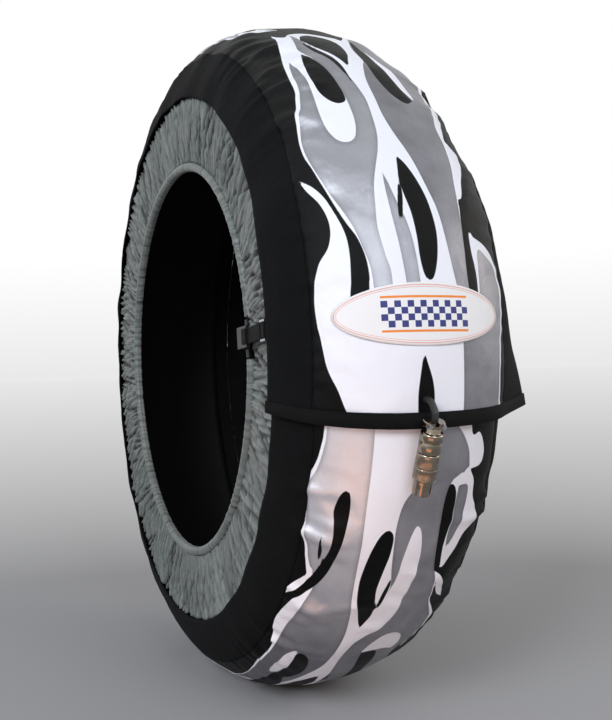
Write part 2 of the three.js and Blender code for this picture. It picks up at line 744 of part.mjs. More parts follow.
// Outer end of the lead: out of the flap's hole, over and down into the connector's bore
function leadTail() {
  const holeAngle = THREE.MathUtils.degToRad(leadHoleTurn - connectorTurn);
  const start = leadSection.x + leadTop + layerGap;
  const inBore = (distance) => new THREE.Vector3(connectorTop.x, 0, connectorTop.y)
    .addScaledVector(connectorAxis, distance);
  const path = new THREE.CatmullRomCurve3([
    new THREE.Vector3(start * Math.cos(holeAngle), 0, start * Math.sin(holeAngle)),
    new THREE.Vector3((start + leadRise) * Math.cos(holeAngle), 0, (start + leadRise) * Math.sin(holeAngle)),
    new THREE.Vector3(connectorTop.x - leadBendSetback, 0, connectorTop.y + leadBendAlong),
    inBore(-leadStraight),
    inBore(0),
    inBore(bodyTop),
    inBore(bodyTop + leadDepthInBody - layerGap),
  ]);
  const outline = new THREE.Shape();
  outline.absarc(0, 0, leadRadius, 0, 2 * Math.PI, false);
  const sweep = { steps: leadSteps, extrudePath: path, bevelEnabled: false, curveSegments: leadSegments };
  const tube = new THREE.ExtrudeGeometry(outline, sweep);
  return closedBody(tube.translate(0, connectorOffset, 0));
}
add('lead_end', leadTail(), finishes.blackRubber, connectorFrame);

// Cord clips with their straps and slides: outlines in the plane of radius and offset, along the turn
const clipPlateOffset = hemCentreOffset + clipPlateStandOff;
const clipPlateInnerRadius = hemCentreRadius - clipPlateOverhang;
const clipPlateOuterRadius = clipPlateInnerRadius + clipPlateLength;
const slideOuterRadius = seamRadius - slideSeamGap;
const slideInnerRadius = slideOuterRadius - slideLength;
const slideOffset = skirtSeamOffset + slideStandOff;
const anchorBend = [slideOuterRadius + anchorBendReach, slideOffset - anchorBendDrop];
const anchorEnd = [slideOuterRadius + anchorEndReach, slideOffset - anchorEndDrop];

function extruded(outline, length) {
  const depth = { depth: length, bevelEnabled: false, curveSegments: clipSegments };
  return new THREE.ExtrudeGeometry(outline, depth).translate(0, 0, -length / 2);
}

function loopAround([barStart, barEnd, offset, halfThickness], side) {
  const width = barEnd - barStart;
  const middle = (barEnd + barStart) / 2;
  const hole = 2 * (halfThickness + strapGap);
  const outer = block(width + 2 * (strapGap + strapThickness), hole + 2 * strapThickness, strapWidth);
  const inner = block(width + 2 * strapGap, hole, 2 * strapWidth);
  const place = [middle, side * offset, 0];
  return { outer: outer.translate(...place), inner: inner.translate(...place) };
}

function band([fromRadius, fromOffset], [toRadius, toOffset], side) {
  const length = Math.hypot(toRadius - fromRadius, toOffset - fromOffset);
  const strip = block(length, strapThickness, strapWidth);
  strip.rotateZ(Math.atan2(side * (toOffset - fromOffset), toRadius - fromRadius));
  return strip.translate((fromRadius + toRadius) / 2, (side * (fromOffset + toOffset)) / 2, 0);
}

function cordClip(side) {
  const ring = new THREE.Shape();
  ring.absarc(0, 0, clipBoreRadius + clipWall, 0, 2 * Math.PI, false);
  ring.holes.push(new THREE.Path().absarc(0, 0, clipBoreRadius, 0, 2 * Math.PI, true));
  const sleeve = extruded(ring, clipLength).translate(hemCentreRadius, side * hemCentreOffset, 0);
  const mouthSize = 2 * (clipBoreRadius + clipWall);
  const mouth = block(
    mouthSize, mouthSize, 2 * clipLength,
    hemCentreRadius + clipMouth + mouthSize / 2, side * hemCentreOffset,
  );
  const plateMiddle = (clipPlateInnerRadius + clipPlateOuterRadius) / 2;
  const plate = block(clipPlateLength, clipPlateThickness, clipPlateWidth, plateMiddle, side * clipPlateOffset);
  const neckFrom = hemCentreOffset + clipBoreRadius + clipWall / 2;
  const neckHeight = clipPlateOffset - neckFrom;
  const neck = block(
    clipNeckWidth, neckHeight, clipPlateWidth,
    clipPlateInnerRadius + clipNeckWidth / 2, side * (neckFrom + neckHeight / 2),
  );
  const slotWidth = strapThickness + 2 * strapGap;
  const slot = block(
    slotWidth, 4 * clipPlateThickness, strapWidth + 2 * strapGap,
    clipPlateOuterRadius - clipBarWidth - slotWidth / 2, side * clipPlateOffset,
  );
  return cut(joined(cut(sleeve, mouth), plate, neck), slot);
}

function slideRing(side) {
  const middle = (slideInnerRadius + slideOuterRadius) / 2;
  const plate = block(slideLength, slideBar, slideWidth, middle, side * slideOffset);
  const window = block(
    slideLength - 2 * slideBar, 4 * slideBar, slideWidth - 2 * slideBar,
    middle, side * slideOffset,
  );
  return cut(plate, window);
}

for (const [name, side] of Object.entries(sides)) {
  const frame = wheelFrame(clipTurn);
  warmer.add(frame);
  const clipBarFrom = clipPlateOuterRadius - clipBarWidth;
  const clipLoop = loopAround([clipBarFrom, clipPlateOuterRadius, clipPlateOffset, clipPlateThickness / 2], side);
  const innerLoop = loopAround([slideInnerRadius, slideInnerRadius + slideBar, slideOffset, slideBar / 2], side);
  const outerLoop = loopAround([slideOuterRadius - slideBar, slideOuterRadius, slideOffset, slideBar / 2], side);
  const reach = strapGap + strapThickness / 2;
  const strapBand = band([clipPlateOuterRadius + reach, clipPlateOffset], [slideInnerRadius - reach, slideOffset], side);
  const clipStrap = cut(joined(clipLoop.outer, innerLoop.outer, strapBand), clipLoop.inner, innerLoop.inner);
  const anchorFirst = band([slideOuterRadius + reach, slideOffset], anchorBend, side);
  const anchorSecond = band(anchorBend, anchorEnd, side);
  const anchor = cut(joined(outerLoop.outer, anchorFirst, anchorSecond), outerLoop.inner);
  add(`${name}_cord_clip`, cordClip(side), finishes.blackPlastic, frame);
  add(`${name}_clip_strap`, clipStrap, finishes.blackTape, frame);
  add(`${name}_strap_slide`, slideRing(side), finishes.steel, frame);
  add(`${name}_anchor_strap`, anchor, finishes.blackTape, frame);
}

export default warmer;
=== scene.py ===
"""Looks of a motorcycle tyre warmer wrapped on its tyre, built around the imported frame.

The cloth pieces are made again as fine meshes in the same place as their plain solids: the printed tread
cover with its flap, the side panels, the gathered skirts with their hems, the binding and the badge.
Sizes are in millimetres until a mesh is made. "turn" is the angle round the wheel in degrees, "across" the
arc length from the tread's crown line and "height" the distance out of the outer skin.
"""

import logging
import math
from dataclasses import dataclass
from enum import Enum

import bpy
import numpy as np
from mathutils import Matrix, Vector

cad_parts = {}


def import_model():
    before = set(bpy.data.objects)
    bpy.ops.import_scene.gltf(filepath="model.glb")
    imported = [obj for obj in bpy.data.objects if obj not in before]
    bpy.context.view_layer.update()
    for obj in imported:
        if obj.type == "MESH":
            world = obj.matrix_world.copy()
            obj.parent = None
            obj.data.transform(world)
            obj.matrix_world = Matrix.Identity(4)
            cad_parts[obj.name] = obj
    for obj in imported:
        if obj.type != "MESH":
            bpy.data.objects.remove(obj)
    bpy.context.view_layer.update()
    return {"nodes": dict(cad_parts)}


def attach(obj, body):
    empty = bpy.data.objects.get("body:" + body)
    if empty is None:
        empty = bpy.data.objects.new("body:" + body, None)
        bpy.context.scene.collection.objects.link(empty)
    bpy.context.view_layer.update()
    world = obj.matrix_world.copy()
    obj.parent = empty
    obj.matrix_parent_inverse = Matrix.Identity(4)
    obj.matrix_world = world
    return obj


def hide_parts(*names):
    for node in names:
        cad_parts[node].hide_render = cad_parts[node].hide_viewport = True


LOG = logging.getLogger("warmer")
MM = 0.001
BODY = "root"
Array = np.ndarray


# Colours, node graphs and meshes

def linear(hex_colour: str) -> tuple[float, float, float, float]:
    """Turn an sRGB hex colour into the linear colour that Blender works in.

    Args:
        hex_colour: Six hex digits after a hash sign.

    Returns:
        Red, green, blue and a full alpha.
    """
    parts = [int(hex_colour[i:i + 2], 16) / 255 for i in (1, 3, 5)]
    bent = [p / 12.92 if p <= 0.04045 else ((p + 0.055) / 1.055) ** 2.4 for p in parts]
    return bent[0], bent[1], bent[2], 1.0


def add_node(tree: bpy.types.NodeTree, kind: str, settings: dict | None = None,
             links: dict | None = None) -> bpy.types.Node:
    """Add one shader node, set its values and link its inputs.

    Args:
        tree: The node tree that the node goes into.
        kind: The node's type name.
        settings: Values by input name or number, or by the node's own property name.
        links: Output sockets by input name or number.

    Returns:
        The new node.
    """
    node = tree.nodes.new(kind)
    for key, value in (settings or {}).items():
        if isinstance(key, int) or key in node.inputs:
            node.inputs[key].default_value = value
        else:
            setattr(node, key, value)
    for key, socket in (links or {}).items():
        tree.links.new(socket, node.inputs[key])
    return node


def math_node(tree: bpy.types.NodeTree, operation: str, *values: object) -> bpy.types.NodeSocket:
    """Add a maths node whose inputs are numbers or sockets.

    Args:
        tree: The node tree that the node goes into.
        operation: What the node works out.
        values: Its inputs in order.

    Returns:
        The node's output.
    """
    node = tree.nodes.new("ShaderNodeMath")
    node.operation = operation
    for index, value in enumerate(values):
        if isinstance(value, (int, float)):
            node.inputs[index].default_value = value
        else:
            tree.links.new(value, node.inputs[index])
    return node.outputs[0]


def mixed_colour(tree: bpy.types.NodeTree, share: object, first: object,
                 second: object) -> bpy.types.NodeSocket:
    """Mix two colours, each a hex string or a socket, by a share that is a socket or a number.

    Args:
        tree: The node tree.
        share: Share of the second colour.
        first: The first colour.
        second: The second colour.

    Returns:
        The mixed colour's socket.
    """
    node = add_node(tree, "ShaderNodeMix", {"data_type": "RGBA"})
    for index, value in ((0, share), (6, first), (7, second)):
        if isinstance(value, str):
            node.inputs[index].default_value = linear(value)
        elif isinstance(value, (int, float)):
            node.inputs[index].default_value = value
        else:
            tree.links.new(value, node.inputs[index])
    return node.outputs[2]


@dataclass
class Surface:
    """A grid of points with what its material needs at each point.

    Args:
        points: Places in millimetres, rows by columns by three.
        cloth: Lengths along and across the cut cloth in millimetres, rows by columns by two.
        fields: Named numbers at each point, such as a distance from a printed edge.
    """

    points: Array
    cloth: Array
    fields: dict[str, Array]


def make_object(name: str, points: Array, faces: list[Array], slots: list[int],
                finishes: list[bpy.types.Material], cloth: Array | None = None,
                fields: dict[str, Array] | None = None) -> bpy.types.Object:
    """Make a smooth closed mesh piece from points in millimetres, with its faces turned outwards.

    Args:
        name: The piece's name.
        points: Places in millimetres, one row each.
        faces: Blocks of quads, as rows of four point numbers.
        slots: The material slot of each block.
        finishes: The materials in slot order.
        cloth: Length along and across the cut cloth for each point, in millimetres.
        fields: Named numbers for each point.

    Returns:
        The new object, linked into the scene.
    """
    quads = np.concatenate(faces).astype(np.int32)
    a, b, c, d = (points[quads[:, i]] for i in range(4))
    volume = np.einsum("ij,ij->i", a, np.cross(b, c)).sum() + np.einsum("ij,ij->i", a, np.cross(c, d)).sum()
    if volume < 0:
        quads = quads[:, ::-1].copy()
    mesh = bpy.data.meshes.new(name)
    mesh.vertices.add(len(points))
    mesh.vertices.foreach_set("co", (points * MM).astype(np.float32).ravel())
    mesh.loops.add(quads.size)
    mesh.loops.foreach_set("vertex_index", quads.ravel())
    mesh.polygons.add(len(quads))
    mesh.polygons.foreach_set("loop_start", np.arange(0, quads.size, 4, dtype=np.int32))
    mesh.polygons.foreach_set("material_index", np.repeat(slots, [len(f) for f in faces]).astype(np.int32))
    mesh.polygons.foreach_set("use_smooth", np.full(len(quads), True))
    if cloth is not None:
        layer = mesh.uv_layers.new(name="cloth")
        layer.data.foreach_set("uv", (cloth[quads.ravel()] * MM).astype(np.float32).ravel())
    for field, values in (fields or {}).items():
        attribute = mesh.attributes.new(field, "FLOAT", "POINT")
        attribute.data.foreach_set("value", values.astype(np.float32).ravel())
    mesh.update(calc_edges=True)
    mesh.validate()
    for finish in finishes:
        mesh.materials.append(finish)
    piece = bpy.data.objects.new(name, mesh)
    bpy.context.collection.objects.link(piece)
    return piece


def grid_faces(rows: int, columns: int, start: int) -> Array:
    """Quads of an open grid of points that are numbered from start.

    Args:
        rows: Rows of points.
        columns: Points in a row.
        start: Number of the first point.

    Returns:
        The quads, one row of four point numbers each.
    """
    first = start + np.arange(rows - 1)[:, None] * columns + np.arange(columns - 1)[None, :]
    return np.stack([first, first + columns, first + columns + 1, first + 1], axis=-1).reshape(-1, 4)


def wrapped_faces(rows: int, columns: int, ring: bool = False) -> Array:
    """Quads of a grid whose every row closes on itself.

    Args:
        rows: Rows of points.
        columns: Points in a row.
        ring: Whether the last row also joins the first.

    Returns:
        The quads, one row of four point numbers each.
    """
    row = np.arange(rows if ring else rows - 1)[:, None] * columns
    after = (row + columns) % (rows * columns)
    column = np.arange(columns)[None, :]
    beside = (column + 1) % columns
    return np.stack([row + column, after + column, after + beside, row + beside], axis=-1).reshape(-1, 4)


def closed_sheet(name: str, outer: Surface, inner: Array,
                 finishes: list[bpy.types.Material]) -> bpy.types.Object:
    """Make a thin closed piece from an outer grid and the matching inner grid.

    Args:
        name: The piece's name.
        outer: The outer grid with its cloth lengths and fields.
        inner: The inner grid's points, in the same order.
        finishes: The material of the outer face and edges, then that of the inner face.

    Returns:
        The new object.
    """
    rows, columns = outer.points.shape[:2]
    count = rows * columns
    index = np.arange(count).reshape(rows, columns)
    rim = np.concatenate([index[:-1, 0], index[-1, :-1], index[1:, -1][::-1], index[0, 1:][::-1]])
    following = np.roll(rim, -1)
    edge = np.stack([rim, rim + count, following + count, following], axis=-1)
    front = grid_faces(rows, columns, 0)
    back = grid_faces(rows, columns, count)[:, ::-1]
    blocks = [front, back, edge[:, ::-1] if _rim_flips(front, edge) else edge]
    points = np.concatenate([outer.points.reshape(-1, 3), inner.reshape(-1, 3)])
    cloth = np.tile(outer.cloth.reshape(-1, 2), (2, 1))
    fields = {key: np.tile(value.ravel(), 2) for key, value in outer.fields.items()}
    return make_object(name, points, blocks, [0, 1, 0], finishes, cloth, fields)


def _rim_flips(front: Array, edge: Array) -> bool:
    """Whether the rim's faces run the same way as the front face beside them, and so need turning.

    Args:
        front: The front face's quads.
        edge: The rim's quads.

    Returns:
        True if the rim's faces need turning.
    """
    pair = (edge[0, 3], edge[0, 0])
    for quad in front[(front == pair[0]).any(axis=1) & (front == pair[1]).any(axis=1)]:
        order = list(quad)
        return order[(order.index(pair[0]) + 1) % 4] == pair[1]
    return False


def closed_ring(name: str, sections: Array, cloth: Array, finish: bpy.types.Material) -> bpy.types.Object:
    """Make a ring-shaped piece from closed sections set one after another round a closed path.

    Args:
        name: The piece's name.
        sections: Places in millimetres, stations by points by three; each section closes on itself.
        cloth: Cloth lengths for the same points.
        finish: The piece's material.

    Returns:
        The new object.
    """
    quads = wrapped_faces(*sections.shape[:2], ring=True)
    return make_object(name, sections.reshape(-1, 3), [quads], [0], [finish], cloth.reshape(-1, 2))


def closed_tube(name: str, sections: Array, finish: bpy.types.Material,
                fields: dict[str, Array]) -> bpy.types.Object:
    """Make a capped tube from closed sections; the caps are fans of quads round each end's middle.

    Args:
        name: The piece's name.
        sections: Places in millimetres, stations by points by three; each section closes on itself.
        finish: The piece's material.
        fields: Named numbers at the same points, then at the middles of the two caps.

    Returns:
        The new object.
    """
    stations, count = sections.shape[:2]
    middle = np.array([sections[0].mean(axis=0), sections[-1].mean(axis=0)])
    points = np.concatenate([sections.reshape(-1, 3), middle])
    even = np.arange(0, count, 2)
    last = (stations - 1) * count
    hub = stations * count
    start_cap = np.stack([even, (even + 1) % count, (even + 2) % count, np.full_like(even, hub)], axis=-1)
    end_cap = np.stack([last + (even + 2) % count, last + (even + 1) % count, last + even,
                        np.full_like(even, hub + 1)], axis=-1)
    blocks = [wrapped_faces(stations, count), start_cap, end_cap]
    return make_object(name, points, blocks, [0, 0, 0], [finish], fields=fields)


# The form of the wrapped tyre

@dataclass(frozen=True)
class TyreForm:
    """The outer skin of the warmer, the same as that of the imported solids."""

    outer_radius: float = 320.0
    half_width: float = 97.0
    rise: float = 90.7
    exponent: float = 2.32
    centre_height: float = 315.0
    tread_near: float = -88.0
    tread_far: float = 70.4
    panel_edge: float = 131.0
    start_turn: float = 13.5
    flap_end: float = -369.8
    flap_lift: float = 4.7
    flap_ramp: tuple[float, float] = (-324.0, -342.0)
    wing_start: float = -345.0
    wing_slope: float = 36.0

    def section(self, across: Array, height: Array) -> tuple[Array, Array]:
        """Radius and sideways offset of a point of the section.

        The outline is a superellipse: the rise and the half width, each grown by the height, times the
        cosine and sine of a parameter raised to two over the exponent.

        Args:
            across: Arc length from the crown line.
            height: Distance out of the skin.

        Returns:
            The radius from the wheel's axis and the signed offset along it.
        """
        parameter = np.radians(np.linspace(0, 100, 4001))
        power = 2 / self.exponent
        up = np.sign(np.cos(parameter)) * np.abs(np.cos(parameter)) ** power
        wide = np.abs(np.sin(parameter)) ** power
        steps = np.hypot(np.diff(self.rise * up), np.diff(self.half_width * wide))
        arc = np.concatenate([[0], np.cumsum(steps)])
        found = np.interp(np.abs(across), arc, parameter)
        up = np.sign(np.cos(found)) * np.abs(np.cos(found)) ** power
        wide = np.abs(np.sin(found)) ** power
        radius = self.outer_radius - self.rise + (self.rise + height) * up
        return radius, np.sign(across) * (self.half_width + height) * wide

    def lift(self, turn: Array) -> Array:
        """How far the flap stands off the strip's start at a turn."""
        share = np.clip((turn - self.flap_ramp[0]) / (self.flap_ramp[1] - self.flap_ramp[0]), 0, 1)
        return self.flap_lift * share * share * (3 - 2 * share)

    def place(self, turn: Array, across: Array, height: Array, on_flap: bool = True) -> Array:
        """Place points of the strip: wrapped on the tyre, winged at the flap and flat on the floor.

        Args:
            turn: Angle round the wheel in degrees.
            across: Arc length from the crown line.
            height: Distance out of the skin.
            on_flap: Whether the points follow the flap's lift and its far wing.

        Returns:
            Points in millimetres, with a last axis of three.
        """
        turn, across, height = np.broadcast_arrays(turn, across, height)
        raised = height + (self.lift(turn) if on_flap else 0)
        radius, offset = self.section(across, raised)
        if on_flap:
            share = np.clip((turn - self.wing_start) / (self.flap_end - self.wing_start), 0, 1)
            share = np.where(across > self.tread_far, share, 0)
            root_radius, root_offset = self.section(np.full_like(raised, self.tread_far), raised)
            reach = across - self.tread_far
            slope = math.radians(self.wing_slope)
            radius = radius + share * (root_radius - reach * math.sin(slope) - radius)
            offset = offset + share * (root_offset + reach * math.cos(slope) - offset)
        return self.around(turn, radius, offset, np.maximum(-height, 0))

    def around(self, turn: Array, radius: Array, offset: Array, floor: Array | float = 0.0) -> Array:
        """Points at a radius and offset round the wheel, held above a floor height."""
        angle = np.radians(turn)
        z = np.maximum(self.centre_height + radius * np.sin(angle), floor)
        return np.stack(np.broadcast_arrays(radius * np.cos(angle), offset, z), axis=-1)

    def frame(self, turn: float) -> Matrix:
        """Local frame on the wheel: X out of the wheel, Y along its axis and Z along the turn, in metres."""
        centre = Matrix.Translation((0, 0, self.centre_height * MM))
        return centre @ Matrix.Rotation(-math.radians(turn), 4, "Y")


class Undulation:
    """Smooth seeded unevenness made of a few long waves in random directions."""

    def __init__(self, seed: int, shortest: float, longest: float, count: int = 14) -> None:
        """Choose the waves.

        Args:
            seed: Seed of the random choice.
            shortest: Shortest wavelength in millimetres.
            longest: Longest wavelength in millimetres.
            count: Number of waves.
        """
        chance = np.random.default_rng(seed)
        length = np.exp(chance.uniform(math.log(shortest), math.log(longest), count))
        heading = chance.uniform(0, math.pi, count)
        self.along = np.cos(heading) * 2 * math.pi / length
        self.across = np.sin(heading) * 2 * math.pi / length
        self.phase = chance.uniform(0, 2 * math.pi, count)
        self.size = 1 / math.sqrt(count)

    def at(self, along: Array, across: Array) -> Array:
        """Unevenness at points of the cloth: a sum of sine waves.

        Args:
            along: Lengths along the cloth in millimetres.
            across: Lengths across it.

        Returns:
            The sum of the waves, of about plus or minus one.
        """
        total = np.zeros(np.broadcast(along, across).shape)
        for k_along, k_across, phase in zip(self.along, self.across, self.phase):
            total += np.sin(k_along * along + k_across * across + phase)
        return total * self.size


# The printed pattern: hot-rod licks as fields of white, silver and black

class Ink(Enum):
    """What a printed shape is filled with."""

    WHITE = "white"
    SILVER = "silver"
    BLACK = "black"


@dataclass(frozen=True)
class PrintShape:
    """One closed shape of the print.

    Args:
        ink: What fills it.
        outline: Points as across in millimetres and angle in degrees, in order round the shape.
        tips: Which points are sharp; the outline is smooth through the others.
        tone: How light a silver field is at its upper and lower end, from 0 to 1: partly the ink's own lightness,
            partly painted reflection that is lighter where the satin catches the lamps.
    """

    ink: Ink
    outline: tuple[tuple[float, float], ...]
    tips: tuple[int, ...] = ()
    tone: tuple[float, float] = (0.0, 0.0)

    def curve(self, per_side: int = 6) -> Array:
        """The outline as a fine closed chain: a spline through the points, broken at the tips.

        Args:
            per_side: Steps between two neighbouring points.

        Returns:
            Points of the chain, one row each.
        """
        knots = np.array(self.outline, dtype=float)
        count = len(knots)
        share = np.arange(per_side)[:, None] / per_side
        chain = []
        for i in range(count):
            p1, p2 = knots[i], knots[(i + 1) % count]
            p0 = 2 * p1 - p2 if i in self.tips else knots[i - 1]
            p3 = 2 * p2 - p1 if (i + 1) % count in self.tips else knots[(i + 2) % count]
            bend = (2 * p1 + (p2 - p0) * share + (2 * p0 - 5 * p1 + 4 * p2 - p3) * share ** 2
                    + (3 * p1 - p0 - 3 * p2 + p3) * share ** 3) / 2
            chain.append(bend)
        return np.concatenate(chain)


UPPER_PRINT = (
    PrintShape(Ink.WHITE, (
        (-47.5, 61.9), (-51, 57), (-57.5, 52.3), (-61.8, 48.5), (-64, 44.5), (-64.8, 41.5), (-68.8, 38.4),
        (-73.5, 35), (-76.2, 32), (-76.6, 30), (-75.5, 28), (-72.5, 25.9), (-68.8, 23.2), (-62.5, 19.2),
        (-57, 16.5), (-51.3, 14.3), (-47.5, 11.6), (-46.5, 9), (-47.5, 6), (-47.5, -12), (66, -12),
        (62.5, -5), (64, 0), (69, 4), (69.5, 8), (66, 12), (55, 13.8), (40.5, 14.7), (33, 17), (32, 19.4),
        (37.5, 20.5), (43.8, 23.2), (52, 26), (57.5, 29.2), (46, 31), (50, 33.5), (57, 37), (64, 42), (64, 48),
        (56, 54), (40, 58.5), (20, 61.5), (8, 57), (3, 58.5), (-6, 60.2), (-20, 61), (-34, 60.4),
        (-42, 57.8)), (0, 19, 20, 27, 29, 33, 34, 41, 47)),
    PrintShape(Ink.SILVER, (
        (-57, 49.5), (-60.3, 45), (-61, 42), (-65, 38.5), (-70.7, 35), (-74.2, 32), (-74.8, 29.8),
        (-73, 27.2), (-69.5, 24.4), (-64, 21), (-57.5, 18), (-52.5, 15.6), (-48.8, 13), (-45, 10), (-44.5, 6),
        (-45, 1), (-33, 1), (-31.5, 8.9), (-34, 11.6), (-36.5, 15.2), (-35.5, 17.9), (-33, 21.4),
        (-27.5, 24.6), (-22, 27.3), (-17.5, 30.6), (-15.3, 35), (-14.7, 38), (-16.5, 42), (-22, 46), (-29, 51),
        (-33, 55), (-36, 59.8), (-39.5, 55.5), (-42.5, 52.5), (-37.5, 47.5), (-33, 43.5), (-30.8, 40),
        (-30.6, 36), (-31.5, 32.5), (-35.5, 29.7), (-42, 28.7), (-49, 29.3), (-53.3, 31.3), (-55, 34),
        (-54.2, 37.5), (-52.8, 41), (-53, 45)), (0, 15, 16, 31, 33), (0.05, 0.6)),
    PrintShape(Ink.SILVER, (
        (17, 58.5), (9.5, 53.5), (7.5, 48.5), (2, 46), (-3, 42.5), (-5.2, 39), (-6.5, 35), (-5.5, 32.8),
        (-3, 30), (0.5, 27.3), (3.5, 24.8), (7, 21.4), (11, 17.9), (13.3, 14), (15.5, 10.5), (18, 7), (20, 3),
        (20, -12), (62, -12), (60.5, -5), (61.5, 0), (66, 4), (66.5, 8), (63, 11), (54, 12.4), (44, 13),
        (41, 10), (38, 5), (28.5, 5), (28, 8), (29.3, 13), (30.3, 17), (31.5, 19.4), (34.5, 22.5), (39.5, 26),
        (42.5, 30), (41.5, 33), (46, 36), (54, 40), (60, 44), (58, 50), (48, 55), (32, 58.5)),
        (0, 17, 18, 27, 28, 32), (0.0, 0.22)),
    PrintShape(Ink.WHITE, (
        (22.5, 54), (21.3, 48), (23, 44), (27, 40.5), (33, 38.2), (33.5, 42), (29.5, 48)), (0, 4)),
    PrintShape(Ink.SILVER, (
        (-24, 24.2), (-25.7, 21), (-25.2, 17), (-23.5, 13), (-22, 9), (-21, 4), (-11, 4), (-11.7, 10),
        (-13, 13.5), (-15.5, 16.3), (-19.7, 19), (-22.3, 21.5)), (0, 5, 6), (0.35, 0.35)),
    PrintShape(Ink.BLACK, (
        (-43, 50.7), (-47, 47.5), (-49, 44), (-49, 41), (-47, 38.6), (-43, 37), (-37.5, 36.3), (-32, 36.7),
        (-30.5, 38), (-30.6, 40.3), (-32.3, 43.3), (-36.5, 46.8), (-40.5, 49.3)), (0,)),
    PrintShape(Ink.BLACK, (
        (-12.5, 45.2), (-9, 47.3), (-5, 49.2), (-2, 52), (-2, 54.5), (-6, 57), (-12, 58.6), (-20, 59.2),
        (-29, 57.7), (-33.8, 55.4), (-29, 53), (-24, 50.6), (-19, 48.4), (-15.3, 46.6)), (0, 9)),
    PrintShape(Ink.BLACK, (
        (-35.5, 54.8), (-32, 50.8), (-26, 47.4), (-21, 44.3), (-17.2, 40.8), (-17.8, 44.5), (-21, 47.3),
        (-26, 50), (-31, 53)), (0, 4)),
    PrintShape(Ink.BLACK, (
        (15, 57.5), (10, 52.5), (8, 48.5), (7, 44.5), (8.3, 41.8), (11.5, 39.3), (17, 37.7), (23, 37.2),
        (30, 38.2), (26.5, 40.2), (23, 43.5), (21.5, 47), (21.5, 51), (18.5, 54.5)), (0, 8)),
    PrintShape(Ink.BLACK, (
        (-9.7, 26.1), (-12, 24), (-13.7, 22), (-12.8, 19.8), (-10.5, 17.2), (-9.6, 14), (-9.5, 11.2),
        (-7.5, 9), (-3.8, 8.4), (0, 9), (3.8, 11), (6.2, 13.6), (6.4, 16), (4.3, 19.5), (0.3, 22.4),
        (-4.8, 24.8)), (0,)),
    PrintShape(Ink.BLACK, (
        (-14.6, 22), (-17.6, 20), (-20.2, 17.3), (-19.4, 15.6), (-16.6, 17.4), (-14.4, 19.8)), (0, 3)),
    PrintShape(Ink.BLACK, (
        (33, 20), (30.4, 16.8), (29.3, 13), (28.2, 9), (28.5, 4.5), (36.5, 4.5), (38, 9.4), (36.2, 12.9),
        (37, 15.5), (44, 17), (44, 20)), (0, 4, 5, 9, 10)),
    PrintShape(Ink.WHITE, (
        (-83.5, 24.6), (-79.5, 22.5), (-72.5, 20), (-68.8, 17.7), (-68.3, 15.5), (-71.5, 13.5), (-78.8, 11.6),
        (-83, 9.4), (-84.8, 7), (-84, 3.7), (-81.3, 1), (-77.5, -2.5), (-70.5, -5.2), (-66.3, -7.2),
        (-61, -9.5), (-57, -12), (-30, -12), (-30, 1), (-45, 3.2), (-53, 2.8), (-60, 5), (-60.2, 7),
        (-58.8, 8.9), (-57.8, 12.9), (-59.5, 15.6), (-64.5, 18.6), (-69, 20.9), (-75, 22.8)),
        (0, 15, 16, 17)),
    PrintShape(Ink.BLACK, (
        (-12.2, -0.3), (-14.6, -3), (-16.2, -5.6), (-15.8, -8.5), (-16, -12), (-4, -12), (-4, -8.3),
        (-3.7, -6), (-5.5, -3.9), (-9.3, -1.9)), (0, 4, 5)),
)

